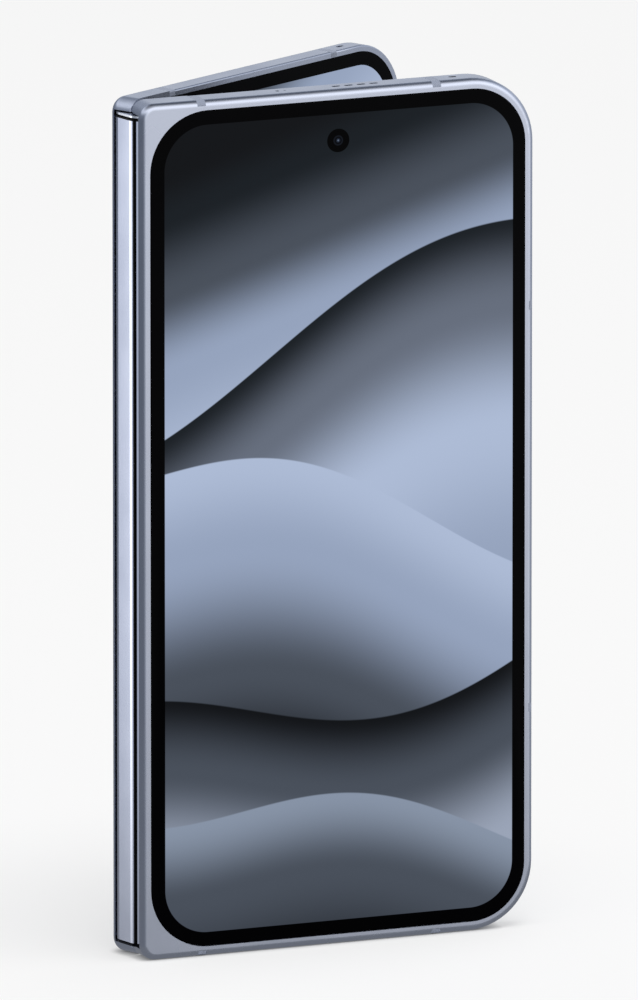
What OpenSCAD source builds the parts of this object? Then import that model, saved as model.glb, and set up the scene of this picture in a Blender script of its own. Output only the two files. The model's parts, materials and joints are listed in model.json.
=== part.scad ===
// Foldable smartphone: two thin halves joined along one long edge by a two-shaft hinge.
// It stands on its bottom edge. X runs from the hinge to the free edge, Y from the cover
// display to the back, and Z up. The origin is the middle of the cover half's bottom edge.
// Every piece is drawn folded shut, and then turned open by the rest angle.

/* [Case] */
// Width of each half
half_w = 75.2; // [62:0.1:91]
// Height of the phone
phone_h = 155.2; // [128:0.1:188]
// Thickness of each half
half_t = 5.2; // [5.0:0.1:6.4]
// Gap between the two halves when shut
fold_gap = 0.4; // [0.3:0.05:0.6]
// Corner radius on the free side
corner_r = 12; // [9:0.1:15]
// Corner radius on the hinge side
hinge_corner_r = 2.8; // [2.2:0.1:5]
// Edge rounding around the cover display
front_edge_r = 1.2; // [0.8:0.05:1.6]
// Edge rounding around the back
back_edge_r = 1.9; // [1.2:0.05:2.2]
// Frame wall, from the outer edge to the cavity
frame_wall = 2.4; // [2.2:0.1:3.2]
// Angle that each half stands open from the spine at rest
fold_rest = 14.2; // [8:0.1:20]

/* [Skins] */
// Distance from the case edge to the cover glass
glass_inset = 1.8; // [1.5:0.05:2.4]
// Corner radius of the cover glass on the hinge side
glass_hinge_r = 11; // [6:0.5:13]
// Thickness of the cover glass
glass_t = 0.5; // [0.4:0.05:0.6]
// Thickness of the cover display panel
panel_t = 0.4; // [0.3:0.05:0.45]
// Distance from the case edge to the back glass
back_inset = 2.3; // [2:0.05:2.8]
// Thickness of the back glass
back_glass_t = 0.65; // [0.5:0.05:0.75]
// Metal rim around the inner display
inner_rim = 1.1; // [0.9:0.05:1.5]
// Visible width of the inner bezel
bezel_w = 2.5; // [2:0.1:3.5]
// Depth of the inner display below the bezel
bezel_rise = 0.15; // [0.1:0.01:0.2]
// Thickness of the inner display
strip_t = 0.4; // [0.3:0.05:0.45]
// Clearance of parts that are glued or dropped into a seat
seat_gap = 0.05; // [0.02:0.01:0.08]

/* [Hinge] */
// Distance from a half's hinge edge to the fold line
hinge_edge = 2.35; // [2.2:0.05:2.7]
// How far the spine stands proud of the shut halves
spine_proud = 1.1; // [0.9:0.05:1.4]
// Thickness of each half's lip over the spine
lip_t = 1.3; // [1.25:0.05:1.5]
// Clearance between the spine and the halves
spine_clear = 0.125; // [0.1:0.01:0.2]
// Clearance between the hinge edges when open flat
flank_clear = 0.05; // [0.03:0.01:0.1]
// Thickness of the end walls over the spine
end_wall = 2.1; // [1.8:0.1:2.6]
// Distance from an end wall to the spine
spine_end = 0.8; // [0.7:0.05:1.2]
// Wall of the spine
spine_wall = 0.6; // [0.5:0.05:0.75]
// Distance from the middle of the spine to its side grooves
groove_at = 2.9; // [2.2:0.05:3]
// Width of the side grooves
groove_w = 0.35; // [0.2:0.05:0.5]
// Radius of the hinge shafts
shaft_r = 0.34; // [0.28:0.01:0.36]
// Radius of the shaft ends in the end walls
shaft_end_r = 0.6; // [0.5:0.05:0.7]
// Running clearance around shafts, pins and buttons
run_gap = 0.03; // [0.02:0.01:0.05]
// Length of each hinge bracket
bracket_l = 9; // [6:0.5:12]
// Distance from the middle of the phone to the inner brackets
bracket_mid = 26; // [20:1:32]
// Length of the synchronising slider
slider_l = 10; // [8:0.5:14]
// Travel of the slider over the whole fold
slider_travel = 1.5; // [1:0.1:2]
// Length of display, from the fold line, that bends
bend_reach = 8.3; // [8:0.1:10]
// Distance from the fold line to the wing plate's pivot when shut
wing_pivot = 6.9; // [6.6:0.1:7.6]
// Length of the wing plates
wing_l = 6.4; // [5.6:0.1:6.6]
// Thickness of the wing plates
wing_t = 0.25; // [0.2:0.01:0.3]
// Tilt of the wing plates when the phone is shut
wing_tilt = 25; // [24:0.5:26]

/* [Cameras] */
// Distance from the top of the cover glass to the cover camera
hole_drop = 7.35; // [6.5:0.05:9]
// Diameter of the cover camera's hole
hole_d = 4.3; // [3.4:0.1:4.8]
// Width of the camera island
island_w = 44; // [38:1:50]
// Height of the camera island
island_h = 28; // [26:1:34]
// How far the island stands out of the back
island_rise = 2.8; // [2:0.1:3.6]
// Corner radius of the island
island_r = 9; // [6:0.5:12]
// Distance from the free edge to the island
island_side = 7; // [6:0.5:12]
// Distance from the top edge to the island
island_top = 8; // [7:0.5:14]
// Width of the windows in the island
window_w = 33; // [28:0.5:36]
// Height of the windows in the island
window_h = 11; // [9:0.5:12]
// Distance between the two camera axes in a window
lens_pitch = 19; // [16:0.5:21]

/* [Controls and ports] */
// Distance from the upper band down to the power button's middle
power_drop = 9.3; // [8.5:0.1:14]
// Length of the power button
power_l = 11; // [9:0.5:14]
// Distance from the power button's middle down to the volume rocker's middle
volume_drop = 26; // [22:0.5:30]
// Length of the volume rocker
volume_l = 22; // [18:0.5:26]
// Width of the buttons
button_w = 1.6; // [1.3:0.1:1.9]
// How far the buttons stand proud
button_proud = 0.45; // [0.3:0.05:0.6]
// Travel of the buttons
button_travel = 0.3; // [0.2:0.05:0.35]
// Height of the card tray's middle
tray_z = 26; // [25:0.5:27]
// Width of the card tray
tray_w = 12.5; // [11:0.5:14]
// Length of the card tray
tray_l = 17; // [14:0.5:20]
// Width of the charging socket
usb_w = 8.94; // [8.9:0.01:9]
// Height of the charging socket
usb_h = 3.26; // [3.2:0.01:3.3]
// Depth of the charging socket
usb_depth = 7; // [6:0.1:8]

/* [Bands and holes] */
// Width of the plastic bands in the frame
band_w = 1.6; // [1.2:0.1:2.2]
// Depth of the plastic bands in the frame
band_depth = 1.0; // [0.7:0.1:1.2]
// Distance from the hinge edge to the first band
band_near = 11.6; // [10.5:0.1:14]
// Distance from the hinge edge to the second band
band_far = 56.5; // [50:0.1:58]
// Distance from the top edge to the upper band on the free edge
band_upper = 41.9; // [36:0.1:48]
// Height of the lower band on the free edge
band_lower = 40; // [34:0.1:46]
// Distance from the cover camera's axis to the first earpiece slot
ear_off = 0.8; // [0.4:0.1:3]
// Pitch of the earpiece slots
ear_pitch = 2.4; // [2.2:0.1:2.8]
// Number of earpiece slots
ear_count = 4; // [3:1:5]
// Distance from the hinge edge to the microphone
mic_at = 27.2; // [22:0.1:30]
// Height of the slots in the edges
slot_w = 0.8; // [0.6:0.05:1]

/* [Inner parts] */
// Thickness of each midplate
mid_t = 0.4; // [0.3:0.05:0.45]
// Thickness of the ledges under the midplates
ledge_t = 0.6; // [0.5:0.05:0.7]
// Width of the ledges under the midplates
ledge_w = 1.8; // [1.6:0.1:2.2]
// Thickness of the plates under the inner display
support_t = 0.4; // [0.3:0.05:0.5]
// Width of the batteries
battery_w = 40; // [32:1:44]
// Length of the cover half's battery
cover_battery_l = 74; // [60:1:84]
// Distance from the rear half's battery up to the camera island
battery_gap = 23.2; // [20:0.1:30]
// Height of the bottom of both batteries
battery_z = 34; // [32:1:38]
// Thickness of the circuit boards
board_t = 0.7; // [0.5:0.05:0.9]
// Radius of the charging coil
coil_r = 19; // [15:0.5:19.5]
// Radius of the screw heads
screw_head_r = 0.85; // [0.7:0.05:0.9]
// Radius of the screw shanks
screw_r = 0.5; // [0.4:0.05:0.55]

/* [Hidden] */
$fn = 64;
eps = 0.01;
over = 1;

// Case edges, faces and fold
x_hinge = -half_w / 2;
x_free = half_w / 2;
face_out = -half_t / 2;
face_in = half_t / 2;
fold_x = x_hinge + hinge_edge;
mid_y = face_in + fold_gap / 2;
mid_z = phone_h / 2;

// Hinge axes: each lies pin_off from the mid-plane and pin_in outside the fold line
pin_off = (hinge_edge + fold_gap / 2 + flank_clear) / 2;
pin_in = pin_off - fold_gap / 2;
axis_a = [fold_x - pin_in, mid_y - pin_off];
axis_b = [fold_x - pin_in, mid_y + pin_off];

// Spine section, from the depth of its back and the radius that the lips leave
spine_back = hinge_edge + spine_proud;
spine_r = spine_back - pin_in;
recess_r = half_t + fold_gap / 2 - lip_t - pin_off;
spine_side = recess_r - spine_clear;
spine_half = pin_off + spine_side;
spine_flat = spine_half - spine_r;
spine_top = -pin_in - 0.35;
spine_z0 = end_wall + spine_end;
spine_z1 = phone_h - spine_z0;
plate_t = 0.35;
plate_gap = 0.2;
gasket_z0 = end_wall + plate_gap + plate_t;
groove_depth = 0.3;

// Levels across the thickness of a half, from its outer face inwards
recess_y = face_out + lip_t;
recess_x = fold_x + wing_pivot + 1.1;
flat_x = fold_x + bend_reach - pin_off - pin_in;
rib = 1;
cavity_x = recess_x + rib;
cover_stack = glass_t + panel_t + seat_gap;
rear_stack = back_glass_t + seat_gap;
display_y = face_in - bezel_rise - strip_t;
support_y = display_y - seat_gap - support_t;
cavity_y = support_y - seat_gap;
display_inset = inner_rim + 0.95;
inset_in = frame_wall + ledge_w;

// Display that bends: its outer face lies bezel_rise under the plane of the bezels
bend_close = 90 - fold_rest;
bend_steps = 40;
bend_z = end_wall + 0.4;

// Smooth step from one rigid motion to the other
function ease(t) = let (c = min(max(t, 0), 1)) c * c * (3 - 2 * c);
function spin(p, c, a) = [
    c.x + (p.x - c.x) * cos(a) - (p.y - c.y) * sin(a),
    c.y + (p.x - c.x) * sin(a) + (p.y - c.y) * cos(a)
];
// A point of the open display, v across and u along it, carried to the rest pose
function bent(u, v) =
    let (
        side = u < 0 ? -1 : 1,
        w = ease((abs(u) - pin_off) / (bend_reach - pin_off)),
        flat = [fold_x + v, mid_y + u],
        axis = u < 0 ? axis_a : axis_b,
        held = spin(flat, axis, -side * bend_close)
    )
    flat * (1 - w) + held * w;

// ---- placing ----
module turned(axis, angle) {
    translate([axis.x, axis.y, 0]) rotate([0, 0, angle]) translate([-axis.x, -axis.y, 0]) children();
}
module on_spine() { turned(axis_a, fold_rest) children(); }
// A piece of the rear half is drawn as if it belonged to the cover half, and mirrored
module on_rear() {
    on_spine() turned(axis_b, fold_rest)
        translate([0, mid_y, 0]) mirror([0, 1, 0]) translate([0, -mid_y, 0]) children();
}

// ---- shapes ----
// A slab between two depths, from an outline drawn in X and Z
module slab(y0, y1) {
    translate([0, y1, 0]) rotate([90, 0, 0]) linear_extrude(y1 - y0) children();
}
module block(x0, x1, y0, y1, z0, z1) {
    translate([x0, y0, z0]) cube([x1 - x0, y1 - y0, z1 - z0]);
}
// A rod along Y, seen as a round spot on the face of a half
module spot(x, z, r, y0, y1) {
    slab(y0, y1) translate([x, z]) circle(r);
}
module corner_trim(r) {
    difference() {
        translate([-eps, -eps]) square(r + eps);
        translate([r, r]) circle(r);
    }
}
// A rectangle with one radius on the hinge side and another on the free side
module outline(x0, x1, z0, z1, r_hinge, r_free) {
    difference() {
        translate([x0, z0]) square([x1 - x0, z1 - z0]);
        translate([x0, z0]) corner_trim(r_hinge);
        translate([x0, z1]) mirror([0, 1]) corner_trim(r_hinge);
        translate([x1, z0]) mirror([1, 0]) corner_trim(r_free);
        translate([x1, z1]) rotate(180) corner_trim(r_free);
    }
}
// The case outline drawn in by an inset, from a chosen hinge-side edge
module inset_outline(inset, x0, r_hinge) {
    outline(x0, x_free - inset, inset, phone_h - inset, r_hinge, corner_r - inset);
}
// A slot with round ends, along X
module stadium(w, h) {
    square([w - h, h], center = true);
    for (side = [-1, 1]) translate([side * (w - h) / 2, 0]) circle(h / 2);
}
// The waste outside a rounded edge, around the whole outer face
module edge_waste(r) {
    run_x = half_w - hinge_corner_r - corner_r;
    translate([x_hinge + hinge_corner_r, face_out, phone_h]) rotate([0, 90, 0])
        linear_extrude(run_x) corner_trim(r);
    translate([x_free - corner_r, face_out, 0]) rotate([0, -90, 0])
        linear_extrude(run_x) corner_trim(r);
    translate([x_free, face_out, phone_h - corner_r]) rotate([0, 180, 0])
        linear_extrude(phone_h - 2 * corner_r) corner_trim(r);
    translate([x_hinge, face_out, hinge_corner_r])
        linear_extrude(phone_h - 2 * hinge_corner_r) corner_trim(r);
    corner_waste(x_free - corner_r, corner_r, 0, corner_r, r);
    corner_waste(x_free - corner_r, phone_h - corner_r, -90, corner_r, r);
    corner_waste(x_hinge + hinge_corner_r, hinge_corner_r, 90, hinge_corner_r, r);
    corner_waste(x_hinge + hinge_corner_r, phone_h - hinge_corner_r, 180, hinge_corner_r, r);
}
module corner_waste(x, z, turn, corner, r) {
    translate([x, face_out, z]) rotate([-90, 0, 0]) rotate([0, 0, turn])
        rotate_extrude(angle = 90) intersection() {
            translate([corner, 0]) mirror([1, 0]) corner_trim(r);
            translate([0, -over]) square(corner + over);
        }
}
// The whole of one half, before anything is cut from it
module half_solid(edge_r) {
    difference() {
        slab(face_out, face_in)
            outline(x_hinge, x_free, 0, phone_h, hinge_corner_r, corner_r);
        edge_waste(edge_r);
        // Round inner corner, so that the end walls clear each other as they turn
        difference() {
            block(x_hinge - over, axis_a.x, axis_a.y, face_in + over, -over, phone_h + over);
            translate([axis_a.x, axis_a.y, -2 * over])
                cylinder(r = pin_off - flank_clear, h = phone_h + 4 * over);
        }
    }
}
function screw_spots() = [
    for (x = [cavity_x + 5, x_free - inset_in - 6], z = [0, phone_h])
        [x, z == 0 ? frame_wall + ledge_w / 2 : phone_h - frame_wall - ledge_w / 2],
    for (z = [mid_z - 40, mid_z + 16]) [x_free - frame_wall - ledge_w / 2, z]
];
// Screws that hold a midplate to its ledge, with their heads on the inner side
module midplate_screws(stack, gap) {
    y_head = face_out + stack + mid_t + ledge_t;
    for (p = screw_spots()) {
        spot(p[0], p[1], screw_head_r + gap, y_head, y_head + 0.35 + gap);
        spot(p[0], p[1], screw_r + gap, face_out + stack + 0.05, y_head + eps);
    }
}
// One frame: pockets for both skins, the cavity, and the recess for the hinge
module frame(edge_r, skin_inset, skin_r, skin_t, stack) {
    y_mid = face_out + stack;
    y_ledge = y_mid + mid_t;
    difference() {
        half_solid(edge_r);
        slab(face_out - over, face_out + skin_t)
            inset_outline(skin_inset - seat_gap, x_hinge + skin_inset - seat_gap, skin_r);
        slab(face_out + skin_t - eps, y_mid)
            inset_outline(skin_inset + 0.9, x_hinge + skin_inset + 0.9, skin_r - 0.9);
        slab(y_mid - eps, y_ledge) inset_outline(frame_wall, cavity_x, 1);
        slab(y_ledge - eps, y_ledge + ledge_t + eps)
            inset_outline(inset_in, cavity_x + ledge_w, 1);
        slab(y_ledge + ledge_t, cavity_y) inset_outline(frame_wall, cavity_x, 1);
        slab(cavity_y - eps, display_y - seat_gap / 2)
            inset_outline(frame_wall - 0.2, recess_x - eps, 1);
        slab(display_y - seat_gap / 2 - eps, face_in + over)
            inset_outline(inner_rim, flat_x, eps);
        block(x_hinge - over, recess_x, recess_y, face_in + over, end_wall, phone_h - end_wall);
        midplate_screws(stack, seat_gap / 2);
        for (z = [end_wall, phone_h - end_wall]) {
            shaft_socket(z, run_gap / 2);
            wing_pivot_bore(z);
        }
    }
}
// Where a hinge shaft's flatted end is held in an end wall
module shaft_socket(z, gap) {
    deep = end_wall - 0.7;
    up = z > mid_z;
    translate([axis_a.x, axis_a.y, up ? z - eps : z - deep]) intersection() {
        cylinder(r = shaft_end_r + gap, h = deep + eps);
        translate([-shaft_end_r - over, -shaft_end_r - over, -over])
            cube([2 * shaft_end_r + over - 0.15 + gap, 2 * shaft_end_r + 2 * over,
                deep + 2 * over]);
    }
}
wing_axis = [fold_x + wing_pivot, mid_y - fold_gap / 2 - bezel_rise - strip_t - seat_gap - 0.35];
wing_barrel = 0.28;
module wing_pivot_bore(z) {
    deep = 1.2;
    translate([wing_axis.x, wing_axis.y, z > mid_z ? z - eps : z - deep])
        cylinder(r = wing_barrel + run_gap, h = deep + eps);
}

// ---- frame bands ----
// The outer skin of the frame where the plastic bands go
module band_zone(gap) {
    reach = half_t + 2 * over;
    for (d = [band_near, band_far], z = [0, phone_h])
        block(x_hinge + d - band_w / 2 - gap, x_hinge + d + band_w / 2 + gap, -reach, reach,
            z == 0 ? -over : phone_h - band_depth, z == 0 ? band_depth : phone_h + over);
    for (z = [phone_h - band_upper, band_lower])
        block(x_free - band_depth, x_free + over, -reach, reach,
            z - band_w / 2 - gap, z + band_w / 2 + gap);
}
module antenna_bands(edge_r) {
    intersection() {
        half_solid(edge_r);
        band_zone(0);
    }
}

// ---- cover half ----
ear_y = 0.5;
ear_x = ear_off;
ear_end = ear_x + (ear_count - 1) * ear_pitch;
ear_depth = 1.6;
hole_z = phone_h - glass_inset - hole_drop;
module edge_slot(x, w, z0, z1) {
    translate([x, ear_y, z0]) linear_extrude(z1 - z0) stadium(w, slot_w);
}
module cover_frame() {
    color("#a8aec0") difference() {
        frame(front_edge_r, glass_inset, glass_hinge_r, glass_t, cover_stack);
        band_zone(0);
        for (i = [0 : ear_count - 1])
            edge_slot(ear_x + i * ear_pitch, 1.6, phone_h - frame_wall - over, phone_h + over);
        block(ear_x - 1.4, ear_end + 1.4, ear_y - 0.7, ear_y + 0.7,
            phone_h - frame_wall - eps, phone_h - ear_depth);
        for (x = [x_hinge + mic_at, x_hinge + mic_at + 1.4])
            translate([x, ear_y, phone_h - frame_wall - over])
                cylinder(r = x == x_hinge + mic_at ? 0.35 : 0.2, h = frame_wall + 2 * over);
        edge_slot(x_hinge + band_far + 4.2, 1.5, phone_h - frame_wall - over, phone_h + over);
    }
}
module cover_antenna_bands() { color("#8b91a3") antenna_bands(front_edge_r); }
module midplate(stack) {
    y0 = face_out + stack + seat_gap;
    slab(y0, y0 + mid_t - seat_gap) inset_outline(frame_wall + seat_gap, cavity_x + seat_gap, 1);
}
module cover_midplate() {
    color("silver") difference() {
        midplate(cover_stack);
        midplate_screws(cover_stack, seat_gap / 2);
        spot(0, hole_z, hole_d / 2 + 0.6, face_out, face_in);
    }
}
module cover_glass() {
    color("#05060a") slab(face_out, face_out + glass_t)
        inset_outline(glass_inset, x_hinge + glass_inset, glass_hinge_r);
}
module cover_display_panel() {
    y0 = face_out + glass_t + seat_gap / 2;
    r = glass_hinge_r - 0.9 - seat_gap;
    color("#8c9ab4") difference() {
        slab(y0, y0 + panel_t)
            inset_outline(glass_inset + 0.9 + seat_gap, x_hinge + glass_inset + 0.9 + seat_gap, r);
        spot(0, hole_z, hole_d / 2, face_out, face_in);
    }
}
camera_box = 7.2;
module cover_camera() {
    y_back = face_out + cover_stack + mid_t + seat_gap;
    color("#20242c") {
        spot(0, hole_z, hole_d / 2 - 0.25, face_out + glass_t + 0.2, y_back + eps);
        slab(y_back, cavity_y - 0.3) translate([-camera_box / 2, hole_z - camera_box + 2.4])
            square([camera_box, camera_box]);
    }
}
module cover_camera_lens() {
    color("#101a2c")
        spot(0, hole_z, hole_d / 2 - 0.9, face_out + glass_t + seat_gap, face_out + glass_t + 0.2);
}
inner_y0 = face_out + cover_stack + mid_t + 0.1;
module cover_battery() {
    color("#2b2e35") slab(inner_y0, cavity_y - 0.25)
        translate([cavity_x + ledge_w + 4, battery_z]) square([battery_w, cover_battery_l]);
}
module earpiece_speaker() {
    z1 = phone_h - inset_in - 0.3;
    x0 = max(ear_x - 3, camera_box / 2 + 0.3);
    color("#3a3d45") {
        slab(inner_y0, cavity_y - 0.35) translate([x0, z1 - 6]) square([ear_end + 3 - x0, 6]);
        // Snout that carries the sound to the slots
        block(ear_x - 1, ear_end + 1, ear_y - 0.5, ear_y + 0.5, z1 - eps, phone_h - frame_wall - 0.1);
    }
}
module earpiece_mesh() {
    color("#15171c") difference() {
        block(ear_x - 1.3, ear_end + 1.3, ear_y - 0.6, ear_y + 0.6,
            phone_h - frame_wall - eps, phone_h - ear_depth - seat_gap);
        for (x = [ear_x - 0.9 : 0.45 : ear_end + 0.9])
            translate([x, ear_y, phone_h - frame_wall - over]) cylinder(r = 0.12, h = 3, $fn = 16);
    }
}
module cover_board() {
    z1 = phone_h - inset_in - 0.4;
    x0 = cavity_x + ledge_w + 0.5;
    color("#1f4a35") slab(inner_y0, inner_y0 + board_t) translate([x0, z1 - 14]) square([16, 14]);
    color("#2c2f36") {
        slab(inner_y0 + board_t, inner_y0 + board_t + 0.8) translate([x0 + 2, z1 - 11]) square([6, 6]);
        slab(inner_y0 + board_t, inner_y0 + board_t + 0.6) translate([x0 + 10, z1 - 12]) square([4, 3]);
        // Microphone can under its hole in the edge
        slab(inner_y0 + board_t, inner_y0 + board_t + 0.9) translate([x0 + 11.5, z1 - 3.5]) square([3, 3]);
    }
}
module sub_board() {
    x0 = cavity_x + ledge_w + 3;
    z0 = inset_in + 1;
    color("#1f4a35") slab(inner_y0, inner_y0 + board_t) translate([x0, z0]) square([26, 18]);
    color("#b7a26a") slab(inner_y0 + board_t, inner_y0 + board_t + 0.7)
        for (i = [0 : 2]) translate([x0 + 3 + i * 7, z0 + 5]) square([4.5, 2.6]);
    color("#2c2f36") slab(inner_y0 + board_t, inner_y0 + board_t + 0.8)
        translate([x0 + 8, z0 + 10]) square([8, 6]);
}
module vibration_motor() {
    x = x_free - inset_in - 8;
    z = inset_in + 9;
    color("#c9ccd2") {
        spot(x, z, 5, inner_y0, cavity_y - 0.6);
        spot(x, z, 1.2, cavity_y - 0.6 - eps, cavity_y - 0.35);
    }
}
module cover_screws() { color("#9a9da6") midplate_screws(cover_stack, 0); }
module support_plate() {
    slab(support_y, support_y + support_t) inset_outline(frame_wall - 0.2 + seat_gap, recess_x + seat_gap, 1);
}
inner_cam = [x_free - 11, phone_h - 10];
module cover_support_plate() { color("#8f939c") support_plate(); }
module inner_display() {
    slab(display_y, display_y + strip_t) inset_outline(display_inset, flat_x + 0.02, eps);
}
module cover_inner_display() { color("#9fb1cf") inner_display(); }
module inner_bezel() {
    gap = seat_gap;
    difference() {
        slab(display_y, face_in) inset_outline(inner_rim + gap, flat_x + 0.02, eps);
        slab(display_y - over, display_y + strip_t + 0.03)
            inset_outline(display_inset - 0.03, flat_x - over, eps);
        slab(display_y - over, face_in + over) inset_outline(inner_rim + bezel_w, flat_x - over, 5);
    }
}
module cover_inner_bezel() { color("#08090c") inner_bezel(); }

// ---- hinge ----
// Half-round outer section of the spine, grown by a margin
module spine_section(grow, depth_in) {
    r = spine_r + grow;
    intersection() {
        union() {
            for (side = [-1, 1])
                translate([fold_x - pin_in, mid_y + side * spine_flat]) circle(r);
            translate([fold_x - pin_in - r, mid_y - spine_flat]) square([r, 2 * spine_flat]);
        }
        translate([fold_x - spine_back - over, mid_y - 2 * spine_half])
            square([spine_back + over + depth_in, 4 * spine_half]);
    }
}
module spine_cover() {
    color("#b9bfd2") on_spine() difference() {
        translate([0, 0, spine_z0]) linear_extrude(spine_z1 - spine_z0) difference() {
            spine_section(0, spine_top);
            spine_section(-spine_wall, spine_top + over);
            for (side = [-1, 1]) spine_groove(side);
        }
        bracket_bolts(0.02);
    }
}
// Fine groove that parts the spine's centre from its rounded side
module spine_groove(side) {
    from_centre = groove_at - spine_flat;
    depth = sqrt(spine_r * spine_r - from_centre * from_centre);
    translate([fold_x - pin_in - depth - over, mid_y + side * groove_at - groove_w / 2])
        square([over + groove_depth, groove_w]);
}
inner_face = -(bezel_rise + strip_t + 0.05);
module end_slice(z0, z1, shrink) {
    for (up = [false, true]) translate([0, 0, up ? phone_h - z1 : z0])
        linear_extrude(z1 - z0) difference() {
            spine_section(-shrink, inner_face);
            for (p = [axis_a, axis_b]) translate(p) circle(shaft_r + run_gap);
        }
}
module spine_gaskets() { color("#0a0b10") on_spine() end_slice(gasket_z0, spine_z0, 0.3); }
module spine_end_plates() { color("#e4e7ee") on_spine() end_slice(end_wall + plate_gap, gasket_z0, 0.1); }
bracket_half = pin_off + shaft_r + 0.75;
bracket_spots = [
    spine_z0 + 1.5, mid_z - bracket_mid - bracket_l / 2, mid_z + bracket_mid - bracket_l / 2,
    spine_z1 - 1.5 - bracket_l
];
// A block in the spine's trough that both shafts pass through
module shaft_block(z, l, clear, half, bore) {
    translate([0, 0, z]) linear_extrude(l) difference() {
        intersection() {
            spine_section(-spine_wall - clear, inner_face);
            translate([fold_x - spine_back, mid_y - half]) square([spine_back, 2 * half]);
        }
        for (p = [axis_a, axis_b]) translate(p) circle(bore);
    }
}
bolt_head = 0.6;
bolt_r = 0.35;
module bracket_bolts(gap) {
    for (z = bracket_spots, dz = [0.25, 0.75])
        translate([fold_x, mid_y, z + dz * bracket_l]) rotate([0, -90, 0]) {
            translate([0, 0, -inner_face + 0.1 - gap])
                cylinder(r = bolt_head + gap, h = 0.5 + 2 * gap);
            translate([0, 0, -inner_face]) cylinder(r = bolt_r + gap, h = spine_back + inner_face - 0.2);
        }
}
module hinge_brackets() {
    color("#6e727b") on_spine() difference() {
        for (z = bracket_spots) shaft_block(z, bracket_l, 0.01, bracket_half, shaft_r + run_gap);
        bracket_bolts(0.02);
        // The heads are let in from the display side
        for (z = bracket_spots, dz = [0.25, 0.75])
            translate([fold_x + inner_face - 0.2, mid_y, z + dz * bracket_l]) rotate([0, 90, 0])
                cylinder(r = bolt_head + 0.02, h = over);
    }
}
module bracket_screws() { color("#c2c5cc") on_spine() bracket_bolts(0); }
// The washers stay under the display, which dips to the inner face of the trough
washer_r = pin_in + inner_face;
washer_t = 0.16;
washer_pitch = 0.24;
washer_count = 8;
washer_z = bracket_spots[0] + bracket_l + 0.05;
module spring_washers() {
    color("#a6a9b2") on_spine()
        for (p = [axis_a, axis_b], i = [0 : washer_count - 1], up = [false, true]) {
            z = washer_z + i * washer_pitch;
            translate([p.x, p.y, up ? phone_h - z - washer_t : z]) difference() {
                cylinder(r = washer_r, h = washer_t);
                translate([0, 0, -over]) cylinder(r = shaft_r + run_gap, h = washer_t + 2 * over);
            }
        }
}
waist_r = shaft_r - 0.07;
waist_l = slider_l + 2 * slider_travel + 2;
module sync_slider() {
    color("#d2b16a") on_spine() shaft_block(mid_z - slider_l / 2, slider_l, 0.15,
        bracket_half - 0.2, waist_r + run_gap);
}
module hinge_shaft() {
    collar_z = washer_z + washer_count * washer_pitch + 0.05;
    shaft_z0 = end_wall;
    translate([axis_a.x, axis_a.y, 0]) {
        translate([0, 0, shaft_z0]) cylinder(r = shaft_r, h = mid_z - waist_l / 2 - shaft_z0);
        translate([0, 0, mid_z - waist_l / 2 - eps]) cylinder(r = waist_r, h = waist_l + 2 * eps);
        translate([0, 0, mid_z + waist_l / 2])
            cylinder(r = shaft_r, h = mid_z - waist_l / 2 - shaft_z0);
        for (z = [collar_z, phone_h - collar_z - 0.8]) translate([0, 0, z]) cylinder(r = washer_r, h = 0.8);
    }
    for (z = [end_wall, phone_h - end_wall]) shaft_socket(z, 0);
}
module cover_shaft() { color("#868a94") hinge_shaft(); }
module rear_shaft() { color("#868a94") on_rear() hinge_shaft(); }
// The wing plates start above the gaskets, so that they pass them as they swing
wing_z0 = spine_z0 + plate_gap / 2;
wing_now = wing_tilt * bend_close / 90;
module wing_plate() {
    turned(wing_axis, wing_now) {
        block(wing_axis.x - wing_l, wing_axis.x, wing_axis.y + wing_barrel - wing_t,
            wing_axis.y + wing_barrel, wing_z0, phone_h - wing_z0);
        translate([wing_axis.x, wing_axis.y, end_wall - 1])
            cylinder(r = wing_barrel, h = phone_h - 2 * end_wall + 2);
    }
}
module cover_wing_plate() { color("#777b84") wing_plate(); }
module rear_wing_plate() { color("#777b84") on_rear() wing_plate(); }
module fold_display() {
    steps = [for (i = [0 : bend_steps]) bend_reach * (2 * i / bend_steps - 1)];
    front = [for (u = steps) bent(u, -bezel_rise)];
    back = [for (u = steps) bent(-u, -bezel_rise - strip_t)];
    color("#9fb1cf") on_spine() translate([0, 0, bend_z]) linear_extrude(phone_h - 2 * bend_z)
        polygon(concat(front, back));
}
// Two ribbons that cross the hinge below the shafts, from one half's recess to the other's
flex_t = 0.12;
flex_l = 9;
// Each ribbon lies midway between an end bracket and the next one
flex_z = (bracket_spots[0] + bracket_l + bracket_spots[1] - flex_l) / 2;
function arc_points(c, r, a0, a1, n) = [
    for (i = [0 : n]) let (a = a0 + (a1 - a0) * i / n) [c.x + r * cos(a), c.y + r * sin(a)]
];
module fold_flex_cables() {
    centre = [fold_x - pin_in, mid_y];
    rear_side = arc_points([centre.x, mid_y + spine_flat], spine_r - spine_wall - 0.15, 180, 112, 8);
    rear_back = arc_points([centre.x, mid_y + spine_flat], spine_r - spine_wall - 0.15 - flex_t, 112, 180, 8);
    color("#8a5a2a") on_spine() for (side = [-1, 1], z = [flex_z, phone_h - flex_z - flex_l])
        translate([0, mid_y, z]) mirror([0, side < 0 ? 1 : 0, 0]) translate([0, -mid_y, 0])
            linear_extrude(flex_l) polygon(concat(
                [[centre.x - spine_r + spine_wall + 0.15, mid_y]], rear_side, rear_back,
                [[centre.x - spine_r + spine_wall + 0.15 + flex_t, mid_y]]));
}

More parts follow.
